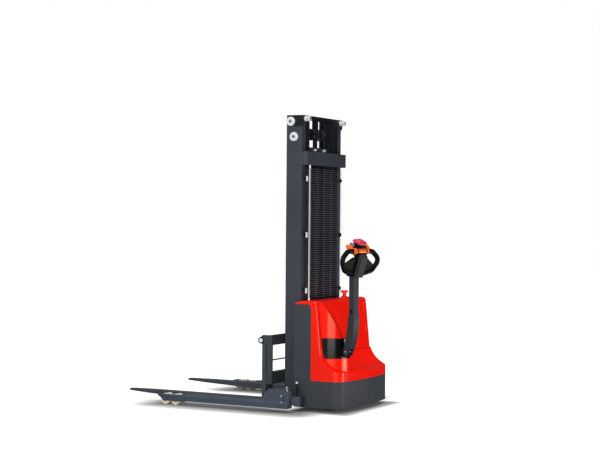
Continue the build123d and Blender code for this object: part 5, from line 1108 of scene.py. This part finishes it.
def studio_world():
    """Even light all round, plain white behind the truck, with a dark flag in its gloss on one side."""
    world = bpy.data.worlds.new("studio")
    bpy.context.scene.world = world
    world.use_nodes = True
    tree = world.node_tree
    background = tree.nodes["Background"]
    background.inputs["Color"].default_value = WHITE
    seen, glossy = background_level(tree, add_node(tree, "ShaderNodeTexCoord").outputs["Generated"])
    ambient = spread(tree, glossy, 0.0, 1.0, WORLD_LEVEL, 0.0)
    tree.links.new(maths(tree, "MAXIMUM", seen, ambient), background.inputs["Strength"])


# Lamps
LAMP_DISTANCE = 5.2
KEY_AZIMUTH = radians(94)
KEY_SIZE = (3.2, 3.6)
KEY_FOOT = 1.4
KEY_POWER = 165
STRIP_AZIMUTH = radians(118)
STRIP_SIZE = (3.9, 1.4)
STRIP_POWER = 78
FILL_PLACE = (MAST_BACK - 2.2, -0.5, 0.35)
FILL_AIM = (MAST_BACK, 0, 0.45)
FILL_SIZE = (1.2, 0.6)
FILL_POWER = 22
TOP_PLACE = (-1.0, -0.6, 5.5)
TOP_AIM = (-0.3, 0, 0)
TOP_SIZE = (4.0, 4.0)
TOP_POWER = 165


def softbox(name, place, target, size, power):
    """A rectangular lamp that faces its target."""
    lamp = bpy.data.lights.new(name, "AREA")
    lamp.shape = "RECTANGLE"
    lamp.size, lamp.size_y = size
    lamp.energy = power
    box = bpy.data.objects.new(name, lamp)
    box.location = place
    box.rotation_euler = (Vector(target) - Vector(place)).to_track_quat("-Z", "Y").to_euler()
    bpy.context.scene.collection.objects.link(box)


def standing_box(name, azimuth, size, foot, power):
    """An upright softbox at the lamps' distance from the mast, facing it."""
    direction = Vector((cos(azimuth), sin(azimuth), 0))
    place = Vector((MAST_BACK, 0, foot + size[1] / 2)) + LAMP_DISTANCE * direction
    softbox(name, place, place - direction, size, power)


def studio_lamps():
    """A high key on the truck's left, a low strip on the camera's side, a weak rear fill and a top light."""
    standing_box("key_box", KEY_AZIMUTH, KEY_SIZE, KEY_FOOT, KEY_POWER)
    standing_box("strip_box", STRIP_AZIMUTH, STRIP_SIZE, 0.0, STRIP_POWER)
    softbox("fill_box", FILL_PLACE, FILL_AIM, FILL_SIZE, FILL_POWER)
    softbox("top_box", TOP_PLACE, TOP_AIM, TOP_SIZE, TOP_POWER)


bpy.context.scene.view_settings.view_transform = "Standard"
photo_camera()
studio_world()
studio_floor()
studio_lamps()
dress_nodes()
guard_wires()
leaf_chains()
pin_heads()
mast_bolts()
guard_holders()
leg_bolts()
shaft_collars()
stop_collar()
recess_beads()
hood_seam()
tiller_fittings()
throttle_seals()
belly_pad()
